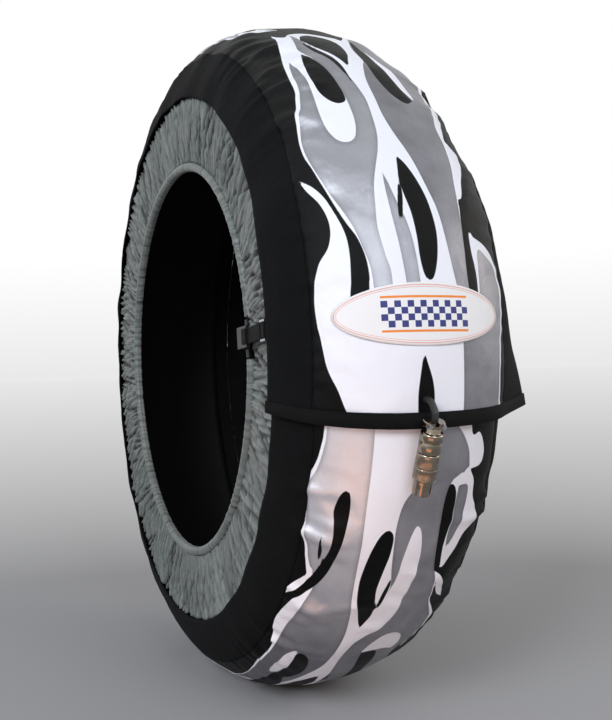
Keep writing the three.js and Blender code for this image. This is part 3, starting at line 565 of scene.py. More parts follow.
LOWER_PRINT = (
    PrintShape(Ink.WHITE, (
        (-78, 14), (-79, 4), (-80.5, -10), (-82, -13), (-85, -15.6), (-89.5, -17.6), (-93.5, -19.6),
        (-94, -21.7), (-90.5, -23.4), (-88.8, -25.9), (-84.5, -28.6), (-81.3, -31.3), (-77, -34), (-73, -36),
        (-75.5, -37.4), (-80.5, -38.7), (-85.5, -42.3), (-88, -45.4), (-87, -47.6), (-82.5, -50.5),
        (-79.8, -51.9), (-79, -55), (-79.5, -60.2), (-76, -65.5), (-73, -70), (-68, -82), (-60, -75),
        (-45, -76), (-30, -88), (-20, -76), (2, -74), (20, -86), (30, -76), (46, -74), (56, -84), (60, -72),
        (54, -64), (46, -58), (42.5, -52), (46, -47), (52, -43.8), (44, -41.2), (38, -39.3), (33.4, -37),
        (28.6, -34), (25.5, -31.9), (33, -31.8), (41, -29), (46, -26.8), (54.5, -25.6), (55.8, -23.9),
        (48, -21), (45, -18.4), (38, -16.4), (50, -16.2), (54, -14.8), (51, -12.9), (45, -11.4), (35, -10.4),
        (36, 4), (36, 14)), (0, 14, 20, 25, 28, 31, 34, 40, 45, 46, 53, 60)),
    PrintShape(Ink.SILVER, (
        (-76, 14), (-77, 4), (-78.5, -10.3), (-80, -13.3), (-83.5, -16.3), (-88.5, -18.6), (-92, -20.4),
        (-91.5, -21.7), (-88, -23.3), (-86.5, -26), (-82.5, -28.5), (-79, -31.2), (-74.5, -33), (-71, -34),
        (-70, -36.2), (-72.5, -38.7), (-75.5, -42.7), (-78, -46.3), (-78, -49.5), (-77.5, -52), (-77.3, -55),
        (-77.5, -60), (-74.5, -66), (-71, -72), (-68, -78), (-61, -73), (-48, -74), (-44, -66), (-37.5, -60),
        (-31.3, -55), (-30.6, -50), (-31, -44.5), (-34.5, -40), (-39, -36), (-42, -31), (-43.5, -26),
        (-45, -20), (-45, -11), (-45, 14)), (0, 24, 38), (2.1, -0.8)),
    PrintShape(Ink.SILVER, (
        (-8.8, -17.8), (-17, -20.1), (-19.5, -23), (-18.8, -26), (-15.5, -30.4), (-11.5, -33.5), (-11, -37),
        (-8, -43), (-16, -45), (-19.8, -47), (-21.8, -50.5), (-20, -55), (-17.5, -58.5), (-10, -64),
        (-2, -72), (20, -80), (44, -72), (58, -74), (50, -64), (43.5, -58), (40, -52), (43.5, -47),
        (48, -43.7), (38, -39.9), (32.4, -37), (27.8, -34), (24.8, -31.7), (20.5, -28.1), (18.3, -23.7),
        (18.5, -20), (22, -17.6), (33, -16.7), (20, -17), (5, -17.6)), (0, 6, 7, 22, 26, 31), (0.3, 0.0)),
    PrintShape(Ink.SILVER, (
        (20, 14), (2, 14), (2, -10), (4, -14), (5.5, -17.7), (20, -17.2), (30, -16.7), (37, -16),
        (34.5, -13.7), (28, -11.6), (22, -10.3), (20, 0)), (0, 1, 4, 7, 10), (0.25, 0.25)),
    PrintShape(Ink.SILVER, (
        (29, -18.5), (38, -18.7), (40.3, -20.5), (39, -23), (36.3, -26), (30, -28.6), (28.3, -26),
        (29.2, -22)), (0, 5), (0.2, 0.2)),
    PrintShape(Ink.WHITE, (
        (-2, -23.9), (-5.8, -25.7), (-8, -29), (-8.5, -32.2), (-10.2, -35.3), (-13, -38.7), (-18, -41.7),
        (-24, -44), (-20, -46.8), (-14, -44.9), (-7, -43), (-1, -41.3), (2.5, -39.3), (4.4, -37.1),
        (6.8, -34), (7.5, -30.8), (6.5, -28.1), (2.8, -25)), (7, 8)),
    PrintShape(Ink.WHITE, (
        (11.3, -44.4), (4, -45.2), (-1, -47), (-4, -49), (-5.5, -50.4), (8, -50.1), (17, -50), (24, -50.8),
        (25, -48), (21, -45.8)), (4, 7)),
    PrintShape(Ink.WHITE, (
        (-59, -50.8), (-65, -53), (-67, -57), (-66, -61), (-62, -63.7), (-58, -60), (-57, -56), (-58, -52.5)),
        (0, 4)),
    PrintShape(Ink.BLACK, (
        (-25.5, -24.2), (-31, -25.1), (-35, -27.2), (-37.2, -30), (-37.5, -33), (-34.8, -36.2),
        (-30.8, -38.4), (-26.7, -40.7), (-22.6, -42.6), (-19.5, -40.8), (-18.2, -38.9), (-20, -36.6),
        (-22.5, -34), (-21.5, -30.8), (-19.8, -28), (-20.3, -25.2)), (8,)),
    PrintShape(Ink.BLACK, (
        (-11.8, -31.6), (-15.4, -33.8), (-18.6, -38.2), (-15.4, -37.6), (-12.4, -35)), (0, 2)),
    PrintShape(Ink.BLACK, (
        (20.5, -18.1), (18.3, -20), (18.2, -23.7), (20.5, -28.1), (25, -32.2), (30, -31.6), (27, -28),
        (28, -24.6), (29, -21), (26.3, -18.9)), (4, 5)),
    PrintShape(Ink.BLACK, (
        (-60, -18.8), (-64.5, -19.5), (-67.8, -22), (-65.5, -24.1), (-64.3, -26.5), (-66, -28.8),
        (-71, -32.2), (-78, -35.6), (-96, -40.2), (-96, -42.2), (-84, -39.8), (-75, -37.4), (-67.5, -34.9),
        (-62.5, -32.2), (-59.3, -29), (-57, -25.9), (-56.3, -22), (-57.3, -19.6)), (8, 9)),
    PrintShape(Ink.WHITE, (
        (-72, -31.6), (-79, -34.4), (-86, -36.7), (-96, -40.4), (-86, -38.4), (-78, -36)), (0, 3)),
    PrintShape(Ink.BLACK, (
        (-72.5, -25.6), (-73.3, -29), (-70.6, -32), (-70.2, -28.6)), (0, 2)),
    PrintShape(Ink.WHITE, (
        (26, -32.2), (33.8, -33.5), (46.3, -37.3), (54.5, -40.2), (41, -37.9), (31, -34.8)), (0, 3)),
    PrintShape(Ink.BLACK, (
        (-51.3, -51.8), (-55.5, -51.7), (-58.5, -52.5), (-56.8, -56), (-57, -60.2), (-60, -64), (-60, -69),
        (-56, -80), (-34, -80), (-41, -69.5), (-48, -64.5), (-49.5, -62.9), (-45.5, -61.5), (-42, -58.8),
        (-42.3, -56.2), (-46, -53.2)), (2, 7, 8)),
    PrintShape(Ink.BLACK, (
        (-4.5, -50.6), (8, -50.4), (13, -52.5), (16.5, -55.5), (20, -60), (30, -68), (36, -80), (22, -80),
        (10, -66), (4, -60), (0, -55.8), (-3, -52.5)), (0, 6, 7)),
    PrintShape(Ink.BLACK, (
        (-25, -59), (-33, -62), (-38, -66), (-34, -80), (-12, -80), (-18, -66), (-22, -62)), (0, 3, 4)),
    PrintShape(Ink.BLACK, ((-18.6, -57), (-16.6, -62.3), (-9, -69.5), (-12.6, -62)), (0, 2)),
    PrintShape(Ink.BLACK, (
        (32, -50.3), (38, -51.8), (50, -58), (62, -64), (48, -60.5), (38, -56.5)), (0, 3)),
)


@dataclass(frozen=True)
class PrintCopy:
    """Where a set of shapes lies on the strip.

    Args:
        shapes: The shapes, in the order in which they are laid on.
        shift: Turn that the angle zero of the shapes falls on.
        squeeze: Length along the strip, as a share of the shapes' own.
        mirrored: Whether near and far are exchanged.
        upturned: Whether the set is turned over about its own foot.
    """

    shapes: tuple[PrintShape, ...]
    shift: float
    squeeze: float = 1.0
    mirrored: bool = False
    upturned: bool = False


class LickPrint:
    """The print as two fields of distance in millimetres, from the licks' edges and from the silver's."""

    REACH = 9.0
    MIRROR_LINE = -18.0
    FOOT_ANGLE = -10.5
    TOP_ANGLE = 62.0
    BACK = (-72.0, -298.0)
    SOFT_STEP = 6.0

    def __init__(self, form: TyreForm) -> None:
        """Lay the front shapes where they show and carry the pattern on round the back.

        Args:
            form: The tyre's form, for the length of a degree.
        """
        self.degree = form.outer_radius * math.pi / 180
        first, last = self.BACK
        unit = 2 * (self.TOP_ANGLE - self.FOOT_ANGLE)
        squeeze = (first - last) / 2 / unit
        copies = []
        for index, mirrored in enumerate((True, False)):
            shift = first - self.TOP_ANGLE * squeeze - index * unit * squeeze
            for upturned in (True, False):
                copies.append(PrintCopy(UPPER_PRINT, shift, squeeze, mirrored, upturned))
        front = (PrintShape(Ink.BLACK, ((-130, 66), (130, 66), (130, -14), (-130, -14)), (0, 1, 2, 3)),)
        self.copies = [*copies, PrintCopy(LOWER_PRINT, 0.0), PrintCopy(front + UPPER_PRINT, -360.0)]

    def fields(self, turn: Array, across: Array) -> dict[str, Array]:
        """Work out the print's fields at points of the strip.

        Args:
            turn: Turn of each point in degrees.
            across: Arc length of each point from the crown line.

        Returns:
            "lick" above zero inside the licks, "silver" above zero where they are silver, and "tone" for how
            light the silver is, partly the ink's own lightness and partly painted reflection.
        """
        lick = np.full(turn.shape, -self.REACH)
        silver = np.full(turn.shape, -self.REACH)
        tone = np.zeros(turn.shape)
        for copy in self.copies:
            for shape in copy.shapes:
                self._lay(shape, copy, turn, across, lick, silver, tone)
        return {"lick": lick, "silver": silver, "tone": tone}

    def _lay(self, shape: PrintShape, copy: PrintCopy, turn: Array, across: Array,
             lick: Array, silver: Array, tone: Array) -> None:
        """Lay one shape over what is there, changing the three fields in place.

        Args:
            shape: The shape.
            copy: Where its set lies.
            turn: Turn of each point.
            across: Arc length of each point.
            lick: Distance from the licks' edges so far.
            silver: Distance from the silver's edges so far.
            tone: Lightness of the silver so far, its own and painted reflection.
        """
        chain = shape.curve()
        if copy.mirrored:
            chain = np.stack([self.MIRROR_LINE - chain[:, 0], chain[:, 1]], axis=-1)
        angle = 2 * self.FOOT_ANGLE - chain[:, 1] if copy.upturned else chain[:, 1]
        along = (angle * copy.squeeze + copy.shift) * self.degree
        line = np.stack([chain[:, 0], along], axis=-1)
        spot = np.stack([across, turn * self.degree], axis=-1)
        low, high = line.min(axis=0) - self.REACH, line.max(axis=0) + self.REACH
        near = ((spot > low) & (spot < high)).all(axis=-1)
        if not near.any():
            return
        inside = self._distance(spot[near], line)
        if shape.ink is Ink.BLACK:
            lick[near] = np.minimum(lick[near], -inside)
            return
        lick[near] = np.maximum(lick[near], inside)
        if shape.ink is Ink.WHITE:
            silver[near] = np.minimum(silver[near], -inside)
            return
        silver[near] = np.maximum(silver[near], inside)
        # Painted reflection: a silver shape's lightness runs from its upper to its lower end where the satin
        # catches the lamps; a level that stays the same is the ink's own.
        share = (high[1] - spot[near][:, 1]) / (high[1] - low[1])
        level = np.clip(shape.tone[0] + (shape.tone[1] - shape.tone[0]) * share, 0, 1)
        weight = np.clip(inside / self.SOFT_STEP + 0.5, 0, 1)
        tone[near] = tone[near] * (1 - weight) + level * weight

    def _distance(self, spot: Array, line: Array) -> Array:
        """Signed distance of points from a closed chain, above zero inside it.

        Args:
            spot: Points, one row each.
            line: The chain's corners in order.

        Returns:
            Distances, held to the reach.
        """
        start, end = line, np.roll(line, -1, axis=0)
        side = end - start
        length = np.maximum((side ** 2).sum(axis=-1), 1e-9)
        best = np.full(len(spot), np.inf)
        crossings = np.zeros(len(spot), dtype=int)
        for i in range(len(line)):
            way = spot - start[i]
            share = np.clip((way @ side[i]) / length[i], 0, 1)
            best = np.minimum(best, ((way - share[:, None] * side[i]) ** 2).sum(axis=-1))
            spans = (start[i, 1] > spot[:, 1]) != (end[i, 1] > spot[:, 1])
            if spans.any():
                drop = side[i, 1] if side[i, 1] != 0 else 1e-9
                meets = start[i, 0] + side[i, 0] * (spot[:, 1] - start[i, 1]) / drop
                crossings += spans & (spot[:, 0] < meets)
        distance = np.minimum(np.sqrt(best), self.REACH)
        return np.where(crossings % 2 == 1, distance, -distance)


# Finishes

class Weave(Enum):
    """How a cloth's threads cross."""

    PLAIN = "plain"
    TWILL = "twill"
    RIBBED = "ribbed"


class Threads(Enum):
    """Where a woven finish reads its lengths from."""

    CLOTH = "cloth"
    OBJECT = "object"


def cloth_lengths(tree: bpy.types.NodeTree,
                  source: Threads) -> tuple[bpy.types.NodeSocket, bpy.types.NodeSocket]:
    """Lengths across and along the cloth in metres, from its own map or from the object's axes.

    Args:
        tree: The node tree.
        source: Where the lengths come from.

    Returns:
        The two lengths' sockets.
    """
    if source is Threads.CLOTH:
        place = add_node(tree, "ShaderNodeUVMap", {"uv_map": "cloth"}).outputs[0]
    else:
        place = add_node(tree, "ShaderNodeTexCoord").outputs["Object"]
    split = add_node(tree, "ShaderNodeSeparateXYZ", links={0: place})
    if source is Threads.CLOTH:
        return split.outputs[0], split.outputs[1]
    return split.outputs[1], math_node(tree, "ADD", split.outputs[0], split.outputs[2])


def thread_height(tree: bpy.types.NodeTree, weave: Weave, pitch: float,
                  source: Threads) -> bpy.types.NodeSocket:
    """Height of the threads from 0 to 1.

    A plain weave is the greater of two crossed sine waves, a twill one slanting wave cut by the other
    threads, and a rib one wave along the cloth.

    Args:
        tree: The node tree.
        weave: The way the threads cross.
        pitch: Distance between two threads in millimetres.
        source: Where the lengths come from.

    Returns:
        The height's socket.
    """
    wide, long = cloth_lengths(tree, source)
    rate = 2 * math.pi / (pitch * MM)
    warp = math_node(tree, "SINE", math_node(tree, "MULTIPLY", long, rate))
    if weave is Weave.RIBBED:
        return math_node(tree, "MULTIPLY_ADD", warp, 0.5, 0.5)
    weft = math_node(tree, "SINE", math_node(tree, "MULTIPLY", wide, rate))
    if weave is Weave.PLAIN:
        return math_node(tree, "MULTIPLY_ADD", math_node(tree, "MAXIMUM", warp, weft), 0.5, 0.5)
    slant = math_node(tree, "SINE", math_node(tree, "MULTIPLY", math_node(tree, "ADD", wide, long), rate))
    cut = math_node(tree, "MULTIPLY_ADD", weft, 0.25, slant)
    return math_node(tree, "MULTIPLY_ADD", cut, 0.4, 0.5)


def cloud(tree: bpy.types.NodeTree, size: float, detail: float = 2.0) -> bpy.types.NodeSocket:
    """Soft noise over the object.

    Args:
        tree: The node tree.
        size: Width of a patch in millimetres.
        detail: How many finer layers it has.

    Returns:
        The noise's socket, from 0 to 1.
    """
    place = add_node(tree, "ShaderNodeTexCoord").outputs["Object"]
    settings = {"Scale": 1 / (size * MM), "Detail": detail, "Roughness": 0.55}
    return add_node(tree, "ShaderNodeTexNoise", settings, {"Vector": place}).outputs["Fac"]


def new_material(name: str) -> tuple[bpy.types.Material, bpy.types.NodeTree, bpy.types.Node]:
    """An empty material with its output and a plastic-like shader linked up.

    Args:
        name: The material's name.

    Returns:
        The material, its node tree and its shader.
    """
    material = bpy.data.materials.new(name)
    material.use_nodes = True
    tree = material.node_tree
    tree.nodes.clear()
    shader = add_node(tree, "ShaderNodeBsdfPrincipled")
    add_node(tree, "ShaderNodeOutputMaterial", links={"Surface": shader.outputs[0]})
    return material, tree, shader


def bumped(tree: bpy.types.NodeTree, height: bpy.types.NodeSocket, depth: float,
           below: bpy.types.NodeSocket | None = None) -> bpy.types.NodeSocket:
    """A normal bumped by a height of 0 to 1.

    Args:
        tree: The node tree.
        height: The height's socket.
        depth: Millimetres that a height of 1 stands for.
        below: A normal that this bump is laid over.

    Returns:
        The bumped normal's socket.
    """
    links = {"Height": height}
    if below is not None:
        links["Normal"] = below
    return add_node(tree, "ShaderNodeBump", {"Strength": 1.0, "Distance": depth * MM}, links).outputs[0]


@dataclass(frozen=True)
class WovenFinish:
    """A dyed woven cloth or tape: threads stand up in the weave, and dye and wear vary softly."""

    name: str
    colour: str
    worn_colour: str
    weave: Weave
    pitch: float
    thread_depth: float
    roughness: float
    sheen: float = 0.0
    threads: Threads = Threads.CLOTH
    patch_size: float = 25.0
    pucker_depth: float = 0.0
    shine: float = 0.12

    def build(self) -> bpy.types.Material:
        """Build the cloth: thread bump, soft creases and a mottled dye."""
        material, tree, shader = new_material(self.name)
        threads = thread_height(tree, self.weave, self.pitch, self.threads)
        patches = cloud(tree, self.patch_size)
        shade = math_node(tree, "MULTIPLY_ADD", patches, 1.6, -0.3)
        shade = math_node(tree, "MULTIPLY_ADD", threads, 0.25, shade)
        tree.links.new(mixed_colour(tree, shade, self.colour, self.worn_colour), shader.inputs["Base Color"])
        shader.inputs["Roughness"].default_value = self.roughness
        shader.inputs["Sheen Weight"].default_value = self.sheen
        shader.inputs["Sheen Roughness"].default_value = 0.4
        shader.inputs["Specular IOR Level"].default_value = self.shine
        normal = bumped(tree, threads, self.thread_depth)
        if self.pucker_depth:
            normal = bumped(tree, cloud(tree, self.patch_size / 4), self.pucker_depth, normal)
        tree.links.new(normal, shader.inputs["Normal"])
        return material


@dataclass(frozen=True)
class PrintedFinish:
    """Coated satin with the lick print: white, metallic silver ink and black, with crisp edges."""

    name: str
    black: str
    white: str
    silver: str
    lighter_silver_and_reflection: str
    edge_blur: float
    pitch: float
    roughness: float
    silver_roughness: float

    def build(self) -> bpy.types.Material:
        """Build the print from the cloth's own fields, the silver's painted reflection among them, over a fine
        satin weave.
        """
        material, tree, shader = new_material(self.name)

        def covered(field: str) -> bpy.types.NodeSocket:
            """Share of ink on one side of a printed edge.

            Args:
                field: Name of the field of distance from the edge.

            Returns:
                The share's socket.
            """
            value = add_node(tree, "ShaderNodeAttribute", {"attribute_name": field}).outputs["Fac"]
            settings = {"From Min": -self.edge_blur, "From Max": self.edge_blur}
            return add_node(tree, "ShaderNodeMapRange", settings, {"Value": value}).outputs[0]

        threads = thread_height(tree, Weave.PLAIN, self.pitch, Threads.CLOTH)
        patches = cloud(tree, 30.0)
        fine = cloud(tree, 1.2, 3.0)
        # Painted reflection: the lightness field, partly the ink's own and partly painted reflection where the
        # satin catches the lamps, mixes the silver towards its lighter colour; the two noises vary it at random.
        tone = add_node(tree, "ShaderNodeAttribute", {"attribute_name": "tone"}).outputs["Fac"]
        tone = math_node(tree, "ADD", tone, math_node(tree, "MULTIPLY_ADD", patches, 0.36, -0.18))
        tone = math_node(tree, "ADD", tone, math_node(tree, "MULTIPLY_ADD", fine, 0.16, -0.08))
        silver = mixed_colour(tree, tone, self.silver, self.lighter_silver_and_reflection)
        lick, metal = covered("lick"), covered("silver")
        ink = mixed_colour(tree, metal, self.white, silver)
        tree.links.new(mixed_colour(tree, lick, self.black, ink), shader.inputs["Base Color"])
        both = math_node(tree, "MULTIPLY", lick, metal)
        spread = self.silver_roughness - self.roughness
        rough = math_node(tree, "MULTIPLY_ADD", both, spread, self.roughness)
        tree.links.new(rough, shader.inputs["Roughness"])
        tree.links.new(math_node(tree, "MULTIPLY", both, 0.5), shader.inputs["Metallic"])
        tree.links.new(math_node(tree, "MULTIPLY_ADD", lick, 0.3, 0.1), shader.inputs["Specular IOR Level"])
        creases = bumped(tree, cloud(tree, 16.0, 3.0), 0.9)
        tree.links.new(bumped(tree, threads, 0.03, creases), shader.inputs["Normal"])
        return material


@dataclass(frozen=True)
class GatheredFinish:
    """Thin silvery nylon in gathers: silver-grey on the folds' backs, with painted shade that makes it dark down
    between them.
    """

    name: str
    ridge: str
    painted_crease_shade: str
    pitch: float
    roughness: float

    def build(self) -> bpy.types.Material:
        """Build the nylon with painted shade from the depth of its folds, with a fine plain weave and small
        crumples.
        """
        material, tree, shader = new_material(self.name)
        fold = add_node(tree, "ShaderNodeAttribute", {"attribute_name": "fold"}).outputs["Fac"]
        patches = cloud(tree, 6.0, 4.0)
        # Painted shade: the fold field darkens the colour towards near-black in the creases, leaving the
        # silver-grey on the folds' backs; the patches vary it at random.
        settings = {"From Min": 0.2, "From Max": 0.75}
        lit = add_node(tree, "ShaderNodeMapRange", settings, {"Value": fold}).outputs[0]
        share = math_node(tree, "MULTIPLY", lit, math_node(tree, "MULTIPLY_ADD", patches, 1.2, 0.3))
        tree.links.new(mixed_colour(tree, share, self.painted_crease_shade, self.ridge), shader.inputs["Base Color"])
        shader.inputs["Roughness"].default_value = self.roughness
        shader.inputs["Sheen Weight"].default_value = 0.15
        crumple = bumped(tree, cloud(tree, 9.0, 2.0), 0.6)
        threads = thread_height(tree, Weave.PLAIN, self.pitch, Threads.CLOTH)
        tree.links.new(bumped(tree, threads, 0.04, crumple), shader.inputs["Normal"])
        return material


@dataclass(frozen=True)
class MetalFinish:
    """A plated or plain metal with fine machining marks, a slightly clouded polish and darker patches of colour
    that are clouding and painted dark reflection.
    """

    name: str
    colour: str
    clouded_and_dark_reflection_colour: str
    roughness: float
    mark_pitch: float
    mark_depth: float

    def build(self) -> bpy.types.Material:
        """Build the metal: marks bump it, and the polish and colour vary in patches, the darker colour being
        clouding and painted dark reflection.
        """
        material, tree, shader = new_material(self.name)
        patches = cloud(tree, 6.0, 3.0)
        # Painted reflection: the darker colour in patches is partly clouding and partly painted dark reflection.
        colour = mixed_colour(tree, patches, self.colour, self.clouded_and_dark_reflection_colour)
        tree.links.new(colour, shader.inputs["Base Color"])
        shader.inputs["Metallic"].default_value = 1.0
        rough = math_node(tree, "MULTIPLY_ADD", patches, 0.16, self.roughness - 0.08)
        tree.links.new(rough, shader.inputs["Roughness"])
        marks = cloud(tree, self.mark_pitch, 2.0)
        tree.links.new(bumped(tree, marks, self.mark_depth), shader.inputs["Normal"])
        return material


@dataclass(frozen=True)
class MouldedFinish:
    """Moulded plastic or rubber: an even colour with a fine spark-eroded grain and dull patches."""

    name: str
    colour: str
    dusty_colour: str
    roughness: float
    grain: float
    grain_depth: float

    def build(self) -> bpy.types.Material:
        """Build the moulding: grain bump, dusty patches and uneven gloss."""
        material, tree, shader = new_material(self.name)
        patches = cloud(tree, 12.0, 3.0)
        colour = mixed_colour(tree, patches, self.colour, self.dusty_colour)
        tree.links.new(colour, shader.inputs["Base Color"])
        rough = math_node(tree, "MULTIPLY_ADD", patches, 0.14, self.roughness - 0.07)
        tree.links.new(rough, shader.inputs["Roughness"])
        tree.links.new(bumped(tree, cloud(tree, self.grain, 2.0), self.grain_depth), shader.inputs["Normal"])
        return material


@dataclass(frozen=True)
class BadgeFinish:
    """Woven badge patch: white ground, a thin double border and a plain chequered band between two lines."""

    name: str
    ground: str
    border: str
    band: str
    line: str
    square: float = 4.6

    def build(self) -> bpy.types.Material:
        """Build the patch's pattern from its own lengths: rings at fixed distances from its edge."""
        material, tree, shader = new_material(self.name)
        edge = add_node(tree, "ShaderNodeAttribute", {"attribute_name": "rim"}).outputs["Fac"]
        wide, high = cloth_lengths(tree, Threads.CLOTH)

        def between(value: bpy.types.NodeSocket, low: float, top: float) -> bpy.types.NodeSocket:
            """One where a value lies between two lengths in millimetres, nought elsewhere.

            Args:
                value: A length in metres.
                low: The lower length.
                top: The upper length.

            Returns:
                A socket of 1 or 0.
            """
            middle, half = (low + top) / 2 * MM, (top - low) / 2 * MM
            off = math_node(tree, "ABSOLUTE", math_node(tree, "SUBTRACT", value, middle))
            return math_node(tree, "LESS_THAN", off, half)

        rim = math_node(tree, "MULTIPLY", edge, MM)
        rings = math_node(tree, "MAXIMUM", between(rim, 1.6, 2.3), between(rim, 3.2, 3.6))
        half_band = 7 * self.square
        rate = math.pi / (self.square * MM)
        check_x = math_node(tree, "SINE", math_node(tree, "MULTIPLY", wide, rate))
        check_y = math_node(tree, "SINE", math_node(tree, "MULTIPLY", high, rate))
        check = math_node(tree, "GREATER_THAN", math_node(tree, "MULTIPLY", check_x, check_y), 0.0)
        band = math_node(tree, "MULTIPLY", between(high, -2 * self.square, 2 * self.square),
                         between(wide, -half_band, half_band))
        check = math_node(tree, "MULTIPLY", check, band)
        stripe = math_node(tree, "MULTIPLY", between(math_node(tree, "ABSOLUTE", high), 11.0, 12.6),
                           between(wide, -half_band, half_band))
        colour = mixed_colour(tree, rings, self.ground, self.border)
        colour = mixed_colour(tree, check, colour, self.band)
        colour = mixed_colour(tree, stripe, colour, self.line)
        tree.links.new(colour, shader.inputs["Base Color"])
        shader.inputs["Roughness"].default_value = 0.5
        threads = thread_height(tree, Weave.RIBBED, 0.5, Threads.CLOTH)
        tree.links.new(bumped(tree, threads, 0.05), shader.inputs["Normal"])
        return material


@dataclass(frozen=True)
class Finishes:
    """Every finish of the warmer, built once."""

    printed: bpy.types.Material
    twill: bpy.types.Material
    backing: bpy.types.Material
    nylon: bpy.types.Material
    binding: bpy.types.Material
    badge: bpy.types.Material
    lining: bpy.types.Material
    wadding: bpy.types.Material
    ribbon: bpy.types.Material
    hook_tape: bpy.types.Material
    webbing: bpy.types.Material
    nickel: bpy.types.Material
    steel: bpy.types.Material
    brass: bpy.types.Material
    plastic: bpy.types.Material
    sheath: bpy.types.Material
    elastic: bpy.types.Material

    @classmethod
    def make(cls) -> "Finishes":
        """Build the materials, each named for what it is and how it was made."""
        return cls(
            # Satin weave under a printed coat: bright whites, a dull metal look in the silver, lightened in
            # places by painted reflection
            printed=PrintedFinish("coated_satin_screen_printed", "#050607", "#eff0f7", "#6c6c72", "#d3d5dc",
                                  0.2, 0.45, 0.5, 0.36).build(),
            # Black twill with a steep diagonal; it takes almost no light
            twill=WovenFinish("cotton_twill_dyed_black", "#040506", "#0a0b0d", Weave.TWILL, 0.9, 0.1, 0.85,
                              pucker_depth=0.9).build(),
            # Inner face of the outer cloth, dull and almost black
            backing=WovenFinish("coated_backing_black", "#060607", "#0c0c0d", Weave.PLAIN,
                                0.8, 0.05, 0.9).build(),
            # Thin nylon drawn into folds: silver-grey backs, with painted shade that makes the creases near-black
            nylon=GatheredFinish("ripstop_nylon_silver_gathered", "#7c8481", "#0b0d0d", 0.4, 0.42).build(),
            # Ribbed tape folded over the raw edge: fine lines across it, no shine
            binding=WovenFinish("grosgrain_tape_sewn_black", "#040405", "#0c0c0d", Weave.RIBBED,
                                0.8, 0.12, 0.8).build(),
            # Woven patch cut with a hot wire: a plain weave, crisp coloured threads and a rolled rim
            badge=BadgeFinish("woven_badge_heat_cut", "#efeeee", "#e2a79c", "#2a3276", "#f08a2b").build(),
            # Dense thin nylon, slightly smoother than the outer cloth
            lining=WovenFinish("nylon_lining_quilted_black", "#050506", "#0b0b0c", Weave.PLAIN,
                               0.4, 0.04, 0.7).build(),
            # Loose fibres needled into a felt: coarse, dull and dark; its threads are drawn as a coarse weave
            wadding=WovenFinish("needled_polyester_wadding", "#1b1b1c", "#2a2a2b", Weave.PLAIN, 2.5, 0.4, 1.0,
                                threads=Threads.OBJECT).build(),
            # Carbon threads woven with cotton: dark grey with a weak sheen
            ribbon=WovenFinish("carbon_tape_woven", "#232326", "#3a3a40", Weave.TWILL, 1.5, 0.1, 0.5,
                               threads=Threads.OBJECT).build(),
            # Rows of small moulded hooks, which show as a coarse grain
            hook_tape=WovenFinish("hook_tape_moulded_black", "#0d0d0e", "#1a1a1c", Weave.PLAIN, 1.6, 0.4, 0.8,
                                  threads=Threads.OBJECT).build(),
            # Slippery narrow weave with ribs across it
            webbing=WovenFinish("polypropylene_webbing_black", "#0c0c0d", "#1d1d1f", Weave.RIBBED,
                                1.2, 0.2, 0.7, threads=Threads.OBJECT).build(),
            # Turned brass under warm bright nickel: sharp reflections, clouded where it was handled, with dark
            # brown patches of painted reflection
            nickel=MetalFinish("brass_turned_nickel_plated", "#b3a796", "#64594c", 0.14, 0.6, 0.01).build(),
            # Zinc leaves a soft grey gleam
            steel=MetalFinish("steel_wire_zinc_plated", "#c3c6ca", "#a4a7ab", 0.28, 0.8, 0.015).build(),
            # Bare turned brass, yellow and half bright
            brass=MetalFinish("brass_pin_turned", "#c9a23a", "#a98427", 0.3, 0.5, 0.01).build(),
            # Spark-eroded moulds give the plastic a fine matt grain
            plastic=MouldedFinish("nylon_plastic_moulded_black", "#101012", "#1d1d20",
                                   0.4, 0.5, 0.02).build(),
            # Extruded rubber is duller and soon dusty
            sheath=MouldedFinish("rubber_sheath_extruded_black", "#0d0d0e", "#1a1a1b",
                                  0.6, 0.8, 0.03).build(),
            # A braid of slanting threads round a rubber core
            elastic=WovenFinish("elastic_cord_braided_black", "#0c0c0d", "#1b1b1d", Weave.TWILL,
                                1.1, 0.2, 0.8).build(),
        )


# Sub-assemblies

def settle(piece: bpy.types.Object, nodes: tuple[str, ...]) -> bpy.types.Object:
    """Make a piece ride on the body and stand for its nodes, and log it.

    Args:
        piece: The piece.
        nodes: Names of the solids that it stands for.

    Returns:
        The same piece.
    """
    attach(piece, BODY)
    if nodes:
        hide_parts(*nodes)
    LOG.info("%s: %d faces", piece.name, len(piece.data.polygons))
    return piece


@dataclass(frozen=True)
class Crease:
    """One fold of the cloth: a soft ridge, or a hollow where the height is below zero."""

    across: float
    turn: float
    heading: float
    length: float
    width: float
    height: float

    def height_at(self, turn: Array, across: Array, radius: float) -> Array:
        """Height of the ridge at points of the strip: a bell across it, flat-topped along it.

        Args:
            turn: Turn of each point.
            across: Arc length of each point from the crown.
            radius: Radius at which a degree's length is taken.

        Returns:
            The height in millimetres.
        """
        away = np.radians((turn - self.turn + 180) % 360 - 180) * radius
        lean = math.radians(self.heading)
        wide = across - self.across
        along = wide * math.cos(lean) + away * math.sin(lean)
        beside = away * math.cos(lean) - wide * math.sin(lean)
        return self.height * np.exp(-(along / self.length * 2) ** 4 - (beside / self.width) ** 2)


